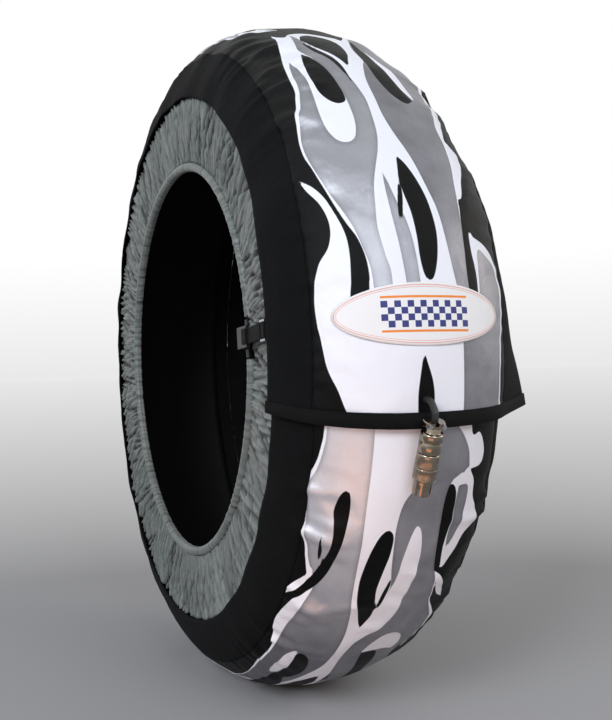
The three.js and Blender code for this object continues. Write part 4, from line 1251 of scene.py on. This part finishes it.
@dataclass
class OuterStrip:
    """The printed tread cover with its flap, and the two side panels sewn to it."""

    form: TyreForm
    pattern: LickPrint
    creases: tuple[Crease, ...] = (
        Crease(-62, 56, -14, 34, 5, 1.5), Crease(-60, 52.5, -12, 40, 4, -1.3),
        Crease(-59, 49, -10, 40, 5, 1.6), Crease(-62, 45, -8, 34, 4, -1.2), Crease(-60, 41.5, -4, 36, 5, 1.2),
        Crease(-56, 24, -30, 60, 9, 2.2), Crease(-50, 19, -34, 50, 6, -1.4), Crease(-66, -11.5, 8, 60, 5, 2.4),
        Crease(-66, -14.5, 8, 60, 4, -1.8), Crease(-78, -19.5, 4, 44, 6, 1.8), Crease(-76, -23.4, 6, 40, 5, -1.6),
        Crease(-74, -27, 10, 44, 5, 1.8), Crease(-70, -31, 14, 40, 5, -1.5), Crease(-60, -39.5, 22, 70, 5, 1.8),
        Crease(-56, -44, 24, 80, 5, -1.5), Crease(-64, -50.5, 10, 60, 4, 2.0), Crease(20, -33, -24, 60, 6, 1.8),
        Crease(16, -37.5, -24, 60, 5, -1.6), Crease(30, -13, 14, 50, 5, 1.8), Crease(40, -24, -10, 44, 5, 1.4),
        Crease(48, 22, 60, 60, 6, 1.6), Crease(34, -4, 70, 46, 6, 1.2), Crease(-30, -6, 40, 40, 6, 0.9),
        Crease(12, -44, -20, 70, 6, 1.5),
    )
    step: float = 3.0
    cover_thickness: float = 1.8
    panel_thickness: float = 1.6
    seam_gap: float = 0.35
    shown_step: float = 2.25
    pucker: float = 1.5
    pucker_reach: float = 13.0
    drape: float = 1.7
    shoulder_line: float = -66.0
    shoulder_width: float = 16.0
    shoulder_rise: float = 1.3
    back: tuple[float, float] = (-74.0, -296.0)
    panel_step: float = 3.6
    deepest: float = 1.2
    thinnest: float = 0.4
    wadding_top: float = -1.95

    def turns(self, step: float) -> Array:
        """Turns of the rows along the strip: step millimetres apart in front, twice that round the back.

        Args:
            step: Distance between rows in front.

        Returns:
            The rows' turns in degrees.
        """
        marks = (self.form.start_turn, *self.back, self.form.flap_end)
        rows = [np.array([self.form.start_turn])]
        for (first, last), coarser in zip(zip(marks, marks[1:]), (1.0, 2.0, 1.0)):
            length = math.radians(first - last) * self.form.outer_radius
            rows.append(np.linspace(first, last, round(length / step / coarser) + 1)[1:])
        return np.concatenate(rows)

    def unevenness(self, turn: Array, across: Array) -> Array:
        """How far the cloth stands out of its smooth form, in millimetres.

        Seams draw the cloth into short puckers that die away over a few centimetres, and the cloth between
        them hangs in long soft waves. Both die out where the strip lies on its own start and on the floor,
        and dents end softly before they reach the wadding.

        Args:
            turn: Turn of each point.
            across: Arc length of each point from the crown.

        Returns:
            The height to add.
        """
        along = np.radians(turn) * self.form.outer_radius
        soft = Undulation(3, 45, 160).at(along, across) * self.drape * 0.55
        ripple = Undulation(5, 11, 34, 10)
        seams = 0.0
        for line, seed in ((self.form.tread_near, 0.0), (self.form.tread_far, 400.0)):
            near = np.exp(-np.abs(across - line) / self.pucker_reach)
            seams = seams + near * ripple.at(along + seed, np.full_like(across, line))
        shoulder = np.exp(-((across - self.shoulder_line) / self.shoulder_width) ** 2)
        shoulder = shoulder * Undulation(11, 20, 48, 8).at(along + 0.6 * across, across * 0.2)
        total = soft + self.pucker * seams + self.shoulder_rise * shoulder
        for crease in self.creases:
            total = total + crease.height_at(turn, across, self.form.outer_radius)
        floor = np.clip(np.abs(((turn + 90 + 180) % 360) - 180) / 22 - 0.55, 0, 1)
        start = np.clip((self.form.flap_end + 360 - 4 - turn) / 8, 0, 1)
        flap = 1 - 0.65 * np.clip((-318 - turn) / 20, 0, 1)
        total = total * floor * start * flap
        return np.where(total < 0, self.deepest * np.tanh(total / self.deepest), total)

    def grid(self, across: Array, thickness: float, step: float) -> tuple[Surface, Array]:
        """Outer and inner grid of a stretch of the strip between two arc lengths.

        Args:
            across: Arc lengths of the columns.
            thickness: The cloth's thickness.
            step: Distance between rows.

        Returns:
            The outer surface and the inner points.
        """
        turn, wide = np.meshgrid(self.turns(step), across, indexing="ij")
        height = self.unevenness(turn, wide)
        outer = self.form.place(turn, wide, height)
        below = np.minimum(height - self.thinnest, np.maximum(height - thickness, self.wadding_top))
        inner = self.form.place(turn, wide, below)
        outer[..., 2] = np.maximum(outer[..., 2], 0)
        inner[..., 2] = np.maximum(inner[..., 2], np.minimum(thickness, outer[..., 2] + thickness))
        along = np.radians(turn) * self.form.outer_radius
        fields = self.pattern.fields(turn, wide)
        return Surface(outer, np.stack([wide, along], axis=-1), fields), inner

    def make(self, finishes: Finishes) -> None:
        """Args:
            finishes: The warmer's finishes.
        """
        form = self.form
        width = form.tread_far - form.tread_near
        columns = np.linspace(form.tread_near, form.tread_far, round(width / self.shown_step) + 1)
        surface, inner = self.grid(columns, self.cover_thickness, self.shown_step)
        cover = closed_sheet("printed_cover", surface, inner, [finishes.printed, finishes.backing])
        settle(cover, ("tread_cover",))
        ends = {"near": (-form.panel_edge, form.tread_near - self.seam_gap),
                "far": (form.tread_far + self.seam_gap, form.panel_edge)}
        for side, (first, last) in ends.items():
            columns = np.linspace(first, last, round((last - first) / self.step) + 1)
            surface, inner = self.grid(columns, self.panel_thickness, self.panel_step)
            panel = closed_sheet(f"{side}_panel", surface, inner, [finishes.twill, finishes.backing])
            settle(panel, (f"{side}_side_panel",))


@dataclass
class FlapBinding:
    """The tape folded over the flap's end and sewn down."""

    form: TyreForm
    width: float = 10.5
    thickness: float = 1.0
    clearance: float = 0.3
    cover_thickness: float = 1.8

    def make(self, finishes: Finishes) -> None:
        """Make the folded tape as a closed strip whose rounded fold wraps the flap's edge.

        Args:
            finishes: The warmer's finishes.
        """
        far = self.clearance + self.thickness
        deep = self.cover_thickness / 2
        fold = [(math.cos(t), math.sin(t)) for t in np.linspace(-math.pi / 2, math.pi / 2, 9)]
        outer = [(self.width, far)] + [(-c * far, deep * s + s * far - deep) for c, s in fold[::-1]]
        outer += [(self.width, -self.cover_thickness - far)]
        inner = [(self.width, -self.cover_thickness - self.clearance)]
        inner += [(-c * self.clearance, deep * s + s * self.clearance - deep) for c, s in fold]
        inner += [(self.width, self.clearance)]
        profile = np.array(outer + inner)
        across = np.linspace(-self.form.panel_edge, self.form.panel_edge, 176)
        wobble = Undulation(21, 14, 60, 8).at(across, np.zeros_like(across)) * 0.25
        turn = self.form.flap_end + np.degrees(profile[None, :, 0] / self.form.outer_radius)
        height = profile[None, :, 1] + wobble[:, None]
        sections = self.form.place(turn, across[:, None], height)
        count = len(profile)
        tape = self._strip(sections, count, finishes)
        settle(tape, ("flap_binding",))

    def _strip(self, sections: Array, count: int, finishes: Finishes) -> bpy.types.Object:
        """Join the sections into a closed strip with flat ends.

        Args:
            sections: Places in millimetres, stations by points by three.
            count: Points in a section.
            finishes: The warmer's finishes.

        Returns:
            The strip.
        """
        stations = len(sections)
        wall = wrapped_faces(stations, count)
        half = count // 2
        pair = np.arange(half - 1)
        cap = np.stack([pair, pair + 1, count - 2 - pair, count - 1 - pair], axis=-1)
        last = (stations - 1) * count
        length = np.linspace(-self.form.panel_edge, self.form.panel_edge, stations)
        around = np.arange(count) * 2.0
        cloth = np.stack(np.meshgrid(length, around, indexing="ij"), axis=-1)[..., ::-1]
        return make_object("folded_binding", sections.reshape(-1, 3), [wall, cap, (cap + last)[:, ::-1]],
                           [0, 0, 0], [finishes.binding], cloth.reshape(-1, 2))


@dataclass
class Badge:
    """The oval patch sewn to the flap."""

    form: TyreForm
    length: float = 130.0
    height: float = 44.0
    across: float = -9.0
    turn: float = 4.2
    gap: float = 0.6
    thickness: float = 0.8

    def make(self, finishes: Finishes) -> None:
        """Make the patch as a disc of rings laid on the flap, with a rolled edge.

        Args:
            finishes: The warmer's finishes.
        """
        rings, spokes = 26, 128
        share = np.linspace(0.02, 1, rings)[:, None]
        angle = np.linspace(0, 2 * math.pi, spokes, endpoint=False)[None, :]
        wide = share * self.length / 2 * np.cos(angle)
        high = share * self.height / 2 * np.sin(angle)
        radius = np.hypot(self.length / 2 * np.cos(angle), self.height / 2 * np.sin(angle))
        slope = self.length * self.height / 4 / radius / np.hypot(
            self.length / 2 * np.sin(angle), self.height / 2 * np.cos(angle))
        rim = (1 - share) * radius * np.clip(slope, 0, 1)
        roll = np.clip(1 - rim / 1.2, 0, 1) ** 2 * 0.5
        merrow = 0.15 * np.exp(-((rim - 1.4) / 0.8) ** 2)
        turn = self.turn - 360 + np.degrees(high / self.form.outer_radius)
        top = self.form.place(turn, self.across + wide, self.gap + self.thickness - roll + merrow)
        low = self.form.place(turn, self.across + wide, np.full_like(wide, self.gap))
        cloth = np.stack(np.broadcast_arrays(wide, high), axis=-1)
        patch = self._disc(top, low, cloth, rim, rings, spokes, finishes)
        settle(patch, ("badge",))

    def _disc(self, top: Array, low: Array, cloth: Array, rim: Array, rings: int, spokes: int,
              finishes: Finishes) -> bpy.types.Object:
        """Close the two faces of rings with a rim and a cap of quads at each middle.

        Args:
            top: The upper face's points, rings by spokes by three.
            low: The lower face's points.
            cloth: Lengths across and along the patch.
            rim: Distance from the patch's edge.
            rings: Rings of points.
            spokes: Points in a ring.
            finishes: The warmer's finishes.

        Returns:
            The patch.
        """
        count = rings * spokes
        face = wrapped_faces(rings, spokes)
        outer = (rings - 1) * spokes + np.arange(spokes)
        after = (rings - 1) * spokes + (np.arange(spokes) + 1) % spokes
        edge = np.stack([outer, outer + count, after + count, after], axis=-1)
        even = np.arange(0, spokes, 2)
        hub = np.stack([np.full_like(even, 2 * count), even,
                        (even + 1) % spokes, (even + 2) % spokes], axis=-1)
        low_hub = np.stack([np.full_like(even, 2 * count + 1), (even + 2) % spokes + count,
                            (even + 1) % spokes + count, even + count], axis=-1)
        middle = np.array([top[0].mean(axis=0), low[0].mean(axis=0)])
        points = np.concatenate([top.reshape(-1, 3), low.reshape(-1, 3), middle])
        lengths = np.concatenate([np.tile(cloth.reshape(-1, 2), (2, 1)), np.zeros((2, 2))])
        inset = np.concatenate([np.tile(rim.ravel(), 2), np.full(2, self.height / 2)])
        blocks = [face, face[:, ::-1] + count, edge, hub, low_hub]
        return make_object("badge_patch", points, blocks, [0] * 5, [finishes.badge], lengths, {"rim": inset})


@dataclass
class Skirts:
    """The gathered skirts that draw the warmer in over the tyre's walls, with their hems and cords."""

    form: TyreForm
    seam_radius: float = 248.8
    hem_radius: float = 191.5
    seam_offset: float = 91.0
    hem_offset: float = 87.0
    hem_centre: float = 187.0
    hem_tube: float = 4.2
    cord_radius: float = 2.1
    start_turn: float = 10.8
    end_turn: float = -356.4
    overlap_rise: float = 2.2
    ramp: tuple[float, float] = (-331.2, -345.6)
    thickness: float = 0.7
    stations: int = 1500
    rows: int = 28
    crease_count: int = 190
    seam_depth: float = 3.6
    hem_depth: float = 2.2
    puff: float = 1.6
    hem_turns: tuple[float, float] = (-1.0, -350.5)
    hem_stations: int = 1000
    cord_stations: int = 240
    tube_points: int = 12

    def gathers(self, turn: Array, share: Array, seed: int) -> Array:
        """Height of the gathers, from about -1 down between the folds to 1 on their backs.

        Round-backed folds with narrow valleys, less the depth of the creases that cut into them. The folds
        at the seam and those at the hem have their own spacing and one set fades into the other.

        Args:
            turn: Turn of each point.
            share: Way from the seam to the hem, from 0 to 1.
            seed: Seed of the folds' unevenness.

        Returns:
            The gathers' height.
        """
        def folds(pitch: float, shift: float, lean: float) -> Array:
            """One set of folds: twice the size of a sine, less one.

            Args:
                pitch: Degrees between two folds.
                shift: Sets this set's wander apart from the others'.
                lean: Degrees that a fold leans over from seam to hem.

            Returns:
                The folds' height, from -1 to 1.
            """
            bend = Undulation(seed + int(pitch * 10), 500, 5000, 12)
            wander = bend.at(turn * 100 + 700 * shift, share * 260) * pitch * 0.8
            phase = math.pi * (turn + wander + lean * share) / pitch
            return 2 * np.abs(np.sin(phase)) ** 1.1 - 1

        size = 0.75 + 0.35 * Undulation(seed + 9, 500, 3000, 9).at(turn * 100, share * 300)
        crumple = 0.12 * Undulation(seed + 17, 80, 400, 12).at(turn * 100, share * 420)
        seam = 0.8 * folds(2.4, 0.0, 3.6) + 0.25 * folds(1.1, 3.0, 1.6)
        hem = 0.7 * folds(2.1, 5.0, 2.6) + 0.35 * folds(0.95, 9.0, 1.0)
        pleats = 0.8 * (seam * (1 - share) + hem * share) * np.clip(size, 0.3, 1.3)
        return np.maximum(pleats + crumple - 1.2 * self.creases(turn, share, seed), -1.4)

    def creases(self, turn: Array, share: Array, seed: int) -> Array:
        """Depth of the sharp creases that run slantwise between the folds, from 0 to 1.

        Args:
            turn: Turn of each point.
            share: Way from the seam to the hem, from 0 to 1.
            seed: Seed of the creases' places.

        Returns:
            The creases' depth.
        """
        chance = np.random.default_rng(seed + 5)
        deep = np.zeros(np.broadcast_shapes(turn.shape, share.shape))
        for _ in range(self.crease_count):
            middle = chance.uniform(-360, 15)
            centre = chance.uniform(0, 1)
            lean = chance.uniform(1.5, 7)
            reach = chance.uniform(0.2, 0.6)
            width = chance.uniform(0.25, 0.55)
            away = (turn - middle - lean * (share - centre)) / width
            span = np.clip(1 - ((share - centre) / reach) ** 2, 0, 1)
            deep = np.maximum(deep, np.exp(-away ** 2) * span)
        return deep

    def skirt(self, name: str, side: int, finishes: Finishes) -> bpy.types.Object:
        """Make one gathered skirt.

        Args:
            name: "near" or "far".
            side: -1 for the near side, 1 for the far side.
            finishes: The warmer's finishes.

        Returns:
            The skirt.
        """
        turn = np.linspace(self.start_turn, self.end_turn, self.stations)[:, None]
        share = np.linspace(0, 1, self.rows)[None, :]
        turn, share = np.broadcast_arrays(turn, share)
        fold = self.gathers(turn, share, 40 + side)
        depth = self.seam_depth * (1 - share) + self.hem_depth * share
        rise = self.overlap_rise * np.clip((turn - self.ramp[0]) / (self.ramp[1] - self.ramp[0]), 0, 1)
        puff = self.puff * np.sin(math.pi * share)
        base = self.seam_offset * (1 - share) + self.hem_offset * share + rise + puff
        radius = self.seam_radius * (1 - share) + self.hem_radius * share
        radius = radius + 1.6 * fold * (1 - share) ** 3
        outer = self.form.around(turn, radius, side * (base + fold * depth + self.thickness / 2))
        inner = self.form.around(turn, radius, side * (base + fold * depth - self.thickness / 2))
        along = np.radians(turn) * self.seam_radius * 1.5
        cloth = np.stack([radius, along], axis=-1)
        # The fold field also drives the nylon's painted shade, darker where the fold goes deep.
        surface = Surface(outer, cloth, {"fold": np.clip(fold * 0.5 + 0.5, 0, 1)})
        return closed_sheet(f"{name}_gathered_skirt", surface, inner, [finishes.nylon, finishes.nylon])

    def hem(self, name: str, side: int, finishes: Finishes) -> bpy.types.Object:
        """Make the ruched hem tube round the elastic cord.

        Args:
            name: "near" or "far".
            side: -1 for the near side, 1 for the far side.
            finishes: The warmer's finishes.

        Returns:
            The hem.
        """
        turn = np.linspace(*self.hem_turns, self.hem_stations)[:, None]
        angle = np.linspace(0, 2 * math.pi, self.tube_points, endpoint=False)[None, :]
        share = np.ones_like(turn)
        ruche = self.gathers(turn, share, 60 + side)
        tube = self.hem_tube * (1 + 0.1 * ruche) * (1 + 0 * angle)
        radius = self.hem_centre + tube * np.cos(angle)
        offset = side * self.hem_offset + tube * np.sin(angle)
        sections = self.form.around(turn, radius, offset)
        # The hem's fold field sets its painted shade: a mid grey, a little darker in the ruche's hollows.
        fold = np.concatenate([np.repeat(ruche.ravel() * 0.25 + 0.6, self.tube_points), [0.5, 0.5]])
        return closed_tube(f"{name}_ruched_hem", sections, finishes.nylon, {"fold": fold})

    def cord(self, name: str, side: int, finishes: Finishes) -> bpy.types.Object:
        """Make the elastic cord as one smooth ring inside the hem.

        Args:
            name: "near" or "far".
            side: -1 for the near side, 1 for the far side.
            finishes: The warmer's finishes.

        Returns:
            The cord.
        """
        turn = np.linspace(0, 360, self.cord_stations + 1)[:-1, None]
        angle = np.linspace(0, 2 * math.pi, self.tube_points, endpoint=False)[None, :]
        radius = self.hem_centre + self.cord_radius * np.cos(angle) + 0 * turn
        offset = side * self.hem_offset + self.cord_radius * np.sin(angle) + 0 * turn
        sections = self.form.around(turn + 0 * angle, radius, offset)
        along = np.radians(turn) * self.hem_centre + 0 * angle
        cloth = np.stack([self.cord_radius * angle + 0 * turn, along], axis=-1)
        return closed_ring(f"{name}_cord_ring", sections, cloth, finishes.elastic)

    def make(self, finishes: Finishes) -> None:
        """Args:
            finishes: The warmer's finishes.
        """
        for name, side in (("near", -1), ("far", 1)):
            skirt = settle(self.skirt(name, side, finishes), (f"{name}_skirt",))
            hem = settle(self.hem(name, side, finishes), (f"{name}_hem",))
            settle(self.cord(name, side, finishes), (f"{name}_elastic_cord",))


@dataclass
class InnerLining:
    """The black lining that lies on the tyre, quilted in rows between the heating ribbons."""

    form: TyreForm
    near: float = -70.4
    far: float = 52.8
    start_turn: float = 12.5
    end_turn: float = -342.0
    top: float = -10.15
    thickness: float = 1.0
    quilt_pitch: float = 17.6
    quilt_depth: float = 0.18

    def make(self, finishes: Finishes) -> None:
        """Make the lining with shallow rows of quilting, held inside its own solid's thickness.

        Args:
            finishes: The warmer's finishes.
        """
        turn = np.linspace(self.start_turn, self.end_turn, 300)[:, None]
        across = np.linspace(self.near, self.far, 29)[None, :]
        turn, across = np.broadcast_arrays(turn, across)
        rows = self.quilt_depth * np.abs(np.sin(math.pi * across / self.quilt_pitch))
        outer = self.form.place(turn, across, np.full_like(rows, self.top - 0.1), on_flap=False)
        inner = self.form.place(turn, across, self.top - self.thickness - rows, on_flap=False)
        cloth = np.stack([across, np.radians(turn) * self.form.outer_radius], axis=-1)
        surface = Surface(outer, cloth, {})
        piece = closed_sheet("quilted_lining", surface, inner, [finishes.lining, finishes.lining])
        settle(piece, ("inner_lining",))


@dataclass
class Connector:
    """The turned body and the knurled coupling ring of the metal plug."""

    form: TyreForm
    turn: float = -13.2
    offset: float = -11.0
    top: tuple[float, float] = (335.0, 27.0)
    foot: tuple[float, float] = (326.9, -28.3)
    bore: float = 2.8
    core: float = 0.4
    neck: float = 5.5
    barrel: float = 8.1
    thread: float = 6.3
    ring_bore: float = 6.9
    knurl_teeth: int = 40
    knurl_depth: float = 0.4
    segments: int = 160

    def place(self) -> Matrix:
        """Matrix from the plug's own axes, with Y up its axis, to the scene, in metres."""
        x, z = self.foot[0] - self.top[0], self.foot[1] - self.top[1]
        down = Vector((x, 0, z)).normalized()
        lean = Vector((0, -1, 0)).rotation_difference(down).to_matrix().to_4x4()
        seat = Matrix.Translation(Vector((self.top[0], self.offset, self.top[1])) * MM)
        return self.form.frame(self.turn) @ seat @ lean

    def turned(self, name: str, profile: list[tuple[float, float]], relief: Array,
               finish: bpy.types.Material) -> bpy.types.Object:
        """Turn a closed profile about the plug's axis.

        Args:
            name: The piece's name.
            profile: Radius and distance down the axis, in order round the profile.
            relief: How far each profile point is let in at each station, stations by points.
            finish: The piece's material.

        Returns:
            The new piece.
        """
        angle = np.linspace(0, 2 * math.pi, self.segments, endpoint=False)[:, None]
        radius = np.array([p[0] for p in profile])[None, :] - relief
        down = np.array([p[1] for p in profile])[None, :] + 0 * angle
        local = np.stack([radius * np.cos(angle), -down, radius * np.sin(angle)], axis=-1)
        turn = np.array(self.place())
        sections = local @ turn[:3, :3].T + turn[:3, 3] / MM
        return closed_ring(name, sections, local[..., :2], finish)

    def make(self, finishes: Finishes) -> None:
        """Make the body with its thread, and the coupling ring with two bands of knurling.

        Args:
            finishes: The warmer's finishes.
        """
        core, neck, barrel, thread = self.core, self.neck, self.barrel, self.thread
        body = [(core, 13.3), (self.bore, 13.3), (self.bore, 4.3), (neck - 0.3, 4.3), (neck, 4.6),
                (neck, 8.0), (neck + 0.3, 8.3), (barrel - 0.9, 8.3), (barrel - 0.3, 8.6), (barrel, 9.3),
                (barrel, 13.8), (barrel - 0.5, 14.3), (barrel - 0.5, 15.1), (barrel, 15.6), (barrel, 22.8),
                (barrel - 0.5, 23.3), (thread, 23.3)]
        for crest in np.arange(23.6, 28.0, 0.75):
            body += [(thread - 0.35, crest), (thread, crest + 0.37)]
        body += [(thread, 28.3), (core, 28.3)]
        none = np.zeros((self.segments, len(body)))
        settle(self.turned("plug_body", body, none, finishes.nickel), ("connector_body",))
        ring = [(self.ring_bore, 23.6), (barrel - 0.6, 23.6), (barrel, 24.1), (barrel, 26.4), (barrel, 26.8),
                (barrel, 33.6), (barrel, 34.0), (barrel - 0.6, 34.4), (barrel - 0.6, 35.2), (barrel, 35.6),
                (barrel, 36.0), (barrel, 42.6), (barrel, 43.0), (barrel, 44.0), (barrel - 0.6, 44.6),
                (self.ring_bore, 44.6)]
        cut = np.array([4, 5, 10, 11])
        angle = np.linspace(0, 2 * math.pi, self.segments, endpoint=False)
        tooth = np.abs((angle * self.knurl_teeth / (2 * math.pi)) % 1 * 2 - 1)
        relief = np.zeros((self.segments, len(ring)))
        relief[:, cut] = (self.knurl_depth * tooth)[:, None]
        settle(self.turned("knurled_ring", ring, relief, finishes.nickel), ("coupling_ring",))


@dataclass
class Hardware:
    """The carried-over solids: connector, clips, straps, slides and the hidden heating layers."""

    bevel: float = 0.25

    def dress(self, nodes: dict[str, bpy.types.Object], finishes: Finishes) -> None:
        """Give each solid its finish, and round the edges of the hard pieces.

        Args:
            nodes: The frame's nodes by name.
            finishes: The warmer's finishes.
        """
        chosen = {
            "connector_clamp": finishes.nickel, "mating_shell": finishes.nickel,
            "contact_insert": finishes.plastic,
            "clamp_screw_1": finishes.steel, "clamp_screw_2": finishes.steel,
            "contact_pin_1": finishes.brass, "contact_pin_2": finishes.brass, "contact_pin_3": finishes.brass,
            "lead_end": finishes.sheath, "inner_lead": finishes.sheath, "wadding": finishes.wadding,
            "heating_element": finishes.ribbon, "thermostat": finishes.steel,
        }
        for side in ("near", "far"):
            chosen[f"{side}_loop_tape"] = finishes.hook_tape
            chosen[f"{side}_hook_tape"] = finishes.hook_tape
            chosen[f"{side}_cord_clip"] = finishes.plastic
            chosen[f"{side}_clip_strap"] = finishes.webbing
            chosen[f"{side}_anchor_strap"] = finishes.webbing
            chosen[f"{side}_strap_slide"] = finishes.steel
        rounded = ("connector", "mating", "cord_clip", "strap_slide", "clip_strap", "anchor_strap")
        for name, finish in chosen.items():
            node = nodes[name]
            node.data.materials.clear()
            node.data.materials.append(finish)
            if any(word in name for word in rounded):
                edge = node.modifiers.new("rounded_edges", "BEVEL")
                edge.width = self.bevel * MM
                edge.segments = 2
                edge.limit_method = "ANGLE"
                edge.angle_limit = math.radians(35)
            LOG.info("%s: carried over", name)


@dataclass
class Studio:
    """Pale floor, soft lights and the camera at the photograph's angle."""

    form: TyreForm
    azimuth: float = 67.95
    elevation: float = -0.71
    roll: float = -1.59
    yaw: float = -2.68
    pitch: float = 0.23
    distance: float = 905.0
    focal_pixels: float = 873.6
    image_height: float = 720.0
    sensor: float = 36.0
    backdrop_level: float = 0.82
    room_light: float = 0.33
    shade_centre: tuple[float, float, float] = (0.84, -0.34, 0.0)
    shade_reach: float = 1.35
    floor_spokes: int = 64

    def camera(self) -> None:
        """Place the camera where the photograph was taken from and aim it a little beside the middle."""
        a, e = math.radians(self.azimuth), math.radians(self.elevation)
        back = np.array([math.sin(a) * math.cos(e), -math.cos(a) * math.cos(e), math.sin(e)])
        place = back * self.distance + np.array([0, 0, self.form.centre_height])
        a, e = math.radians(self.azimuth + self.yaw), math.radians(self.elevation + self.pitch)
        back = np.array([math.sin(a) * math.cos(e), -math.cos(a) * math.cos(e), math.sin(e)])
        right = np.array([math.cos(a), math.sin(a), 0])
        up = np.cross(back, right)
        lean = math.radians(self.roll)
        side = right * math.cos(lean) + up * math.sin(lean)
        top = -right * math.sin(lean) + up * math.cos(lean)
        data = bpy.data.cameras.new("camera")
        data.sensor_fit = "VERTICAL"
        data.sensor_height = self.sensor
        data.lens = self.focal_pixels / self.image_height * self.sensor
        data.clip_start = 0.01
        camera = bpy.data.objects.new("camera", data)
        turned = Matrix((side, top, back)).transposed().to_4x4()
        camera.matrix_world = Matrix.Translation(place * MM) @ turned
        bpy.context.collection.objects.link(camera)
        bpy.context.scene.camera = camera

    def lamp(self, name: str, place: tuple[float, float, float], size: float, power: float,
             colour: str) -> None:
        """Hang a square soft lamp that faces the wheel's centre.

        Args:
            name: The lamp's name.
            place: Where it hangs, in metres.
            size: The side of its square, in metres.
            power: Its power in watts.
            colour: Its colour.
        """
        data = bpy.data.lights.new(name, "AREA")
        data.shape = "SQUARE"
        data.size = size
        data.energy = power
        data.color = linear(colour)[:3]
        lamp = bpy.data.objects.new(name, data)
        aim = np.array(place) - np.array([0, 0, self.form.centre_height * MM])
        lamp.location = place
        lamp.rotation_euler = Matrix(self._facing(aim)).to_euler()
        lamp.visible_camera = False
        bpy.context.collection.objects.link(lamp)

    def _facing(self, back: Array) -> list[Array]:
        """Rotation that turns an object's +Z towards a direction.

        Args:
            back: The direction that +Z is to point in.

        Returns:
            Three rows of three numbers.
        """
        z = back / np.linalg.norm(back)
        x = np.cross([0, 0, 1], z)
        x = x / np.linalg.norm(x)
        return list(np.stack([x, np.cross(z, x), z], axis=1))

    def floor(self) -> None:
        """Lay a wide round floor that is soft grey under the warmer and melts into white far away."""
        rings = np.array([0.0001, 0.5, 1, 2, 4, 8, 16, 40]) * 1000
        angle = np.linspace(0, 2 * math.pi, self.floor_spokes, endpoint=False)
        points = np.stack([rings[:, None] * np.cos(angle), rings[:, None] * np.sin(angle),
                           np.zeros((len(rings), self.floor_spokes))], axis=-1)
        quads = wrapped_faces(len(rings), self.floor_spokes)
        floor = make_object("studio_floor", points.reshape(-1, 3), [quads], [0], [self._floor_finish()])

    def _floor_finish(self) -> bpy.types.Material:
        """Painted floor: shaded near the warmer, plain white to the eye and to mirrors far from it."""
        material, tree, shader = new_material("painted_studio_floor")
        shader.inputs["Base Color"].default_value = linear("#adadaf")
        shader.inputs["Roughness"].default_value = 0.8
        place = add_node(tree, "ShaderNodeTexCoord").outputs["Object"]
        settings = {"operation": "DISTANCE", 1: self.shade_centre}
        reach = add_node(tree, "ShaderNodeVectorMath", settings, {0: place}).outputs["Value"]
        far = math_node(tree, "SUBTRACT", 1.0, math_node(tree, "DIVIDE", self.shade_reach, reach))
        far = add_node(tree, "ShaderNodeClamp", links={0: far}).outputs[0]
        share = math_node(tree, "MULTIPLY", far, self._seen(tree))
        settings = {"Color": (1, 1, 1, 1), "Strength": self.backdrop_level}
        glow = add_node(tree, "ShaderNodeEmission", settings)
        mix = add_node(tree, "ShaderNodeMixShader", links={0: share, 1: shader.outputs[0],
                                                           2: glow.outputs[0]})
        tree.links.new(mix.outputs[0], tree.nodes["Material Output"].inputs[0])
        return material

    def _seen(self, tree: bpy.types.NodeTree) -> bpy.types.NodeSocket:
        """One for rays from the eye, from mirrors and through glass, nought for light that falls on things.

        Args:
            tree: The node tree.

        Returns:
            A socket of 1 or 0.
        """
        ray = add_node(tree, "ShaderNodeLightPath")
        seen = math_node(tree, "MAXIMUM", ray.outputs["Is Camera Ray"], ray.outputs["Is Glossy Ray"])
        return math_node(tree, "MAXIMUM", seen, ray.outputs["Is Transmission Ray"])

    def world(self) -> None:
        """Soft grey light from all round; the eye and mirrors see it as white."""
        world = bpy.data.worlds.new("soft_studio")
        world.use_nodes = True
        tree = world.node_tree
        tree.nodes.clear()
        way = add_node(tree, "ShaderNodeTexCoord").outputs["Generated"]
        height = add_node(tree, "ShaderNodeSeparateXYZ", links={0: way}).outputs[2]
        settings = {"From Max": 0.12, "To Min": self.backdrop_level, "To Max": 1.0}
        shown = add_node(tree, "ShaderNodeMapRange", settings, {"Value": height}).outputs[0]
        links = {0: self._seen(tree), 3: shown}
        strength = add_node(tree, "ShaderNodeMix", {2: self.room_light}, links).outputs[0]
        sky = add_node(tree, "ShaderNodeBackground", {"Color": (1, 1, 1, 1)}, {"Strength": strength})
        add_node(tree, "ShaderNodeOutputWorld", links={"Surface": sky.outputs[0]})
        bpy.context.scene.world = world

    def build(self) -> None:
        """Set up the camera, floor, world and lamps."""
        scene = bpy.context.scene
        scene.view_settings.view_transform = "Standard"
        self.camera()
        self.floor()
        self.world()
        self.lamp("key_softbox", (1.5, -1.7, 1.35), 0.9, 34, "#f2f7ff")
        self.lamp("front_softbox", (2.3, 0.1, 1.5), 0.9, 14, "#eef5ff")
        self.lamp("far_softbox", (0.9, 2.3, 1.2), 1.0, 12, "#fff4ea")
        self.lamp("warm_bounce", (0.46, -0.18, 0.02), 0.25, 0.3, "#ffa868")


def main() -> None:
    """Build the warmer's looks piece by piece."""
    logging.basicConfig(level=logging.INFO, format="%(name)s: %(message)s")
    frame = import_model()
    form = TyreForm()
    finishes = Finishes.make()
    OuterStrip(form, LickPrint(form)).make(finishes)
    FlapBinding(form).make(finishes)
    Badge(form).make(finishes)
    Skirts(form).make(finishes)
    InnerLining(form).make(finishes)
    Connector(form).make(finishes)
    Hardware().dress(frame["nodes"], finishes)
    Studio(form).build()


if __name__ == "__main__":
    main()
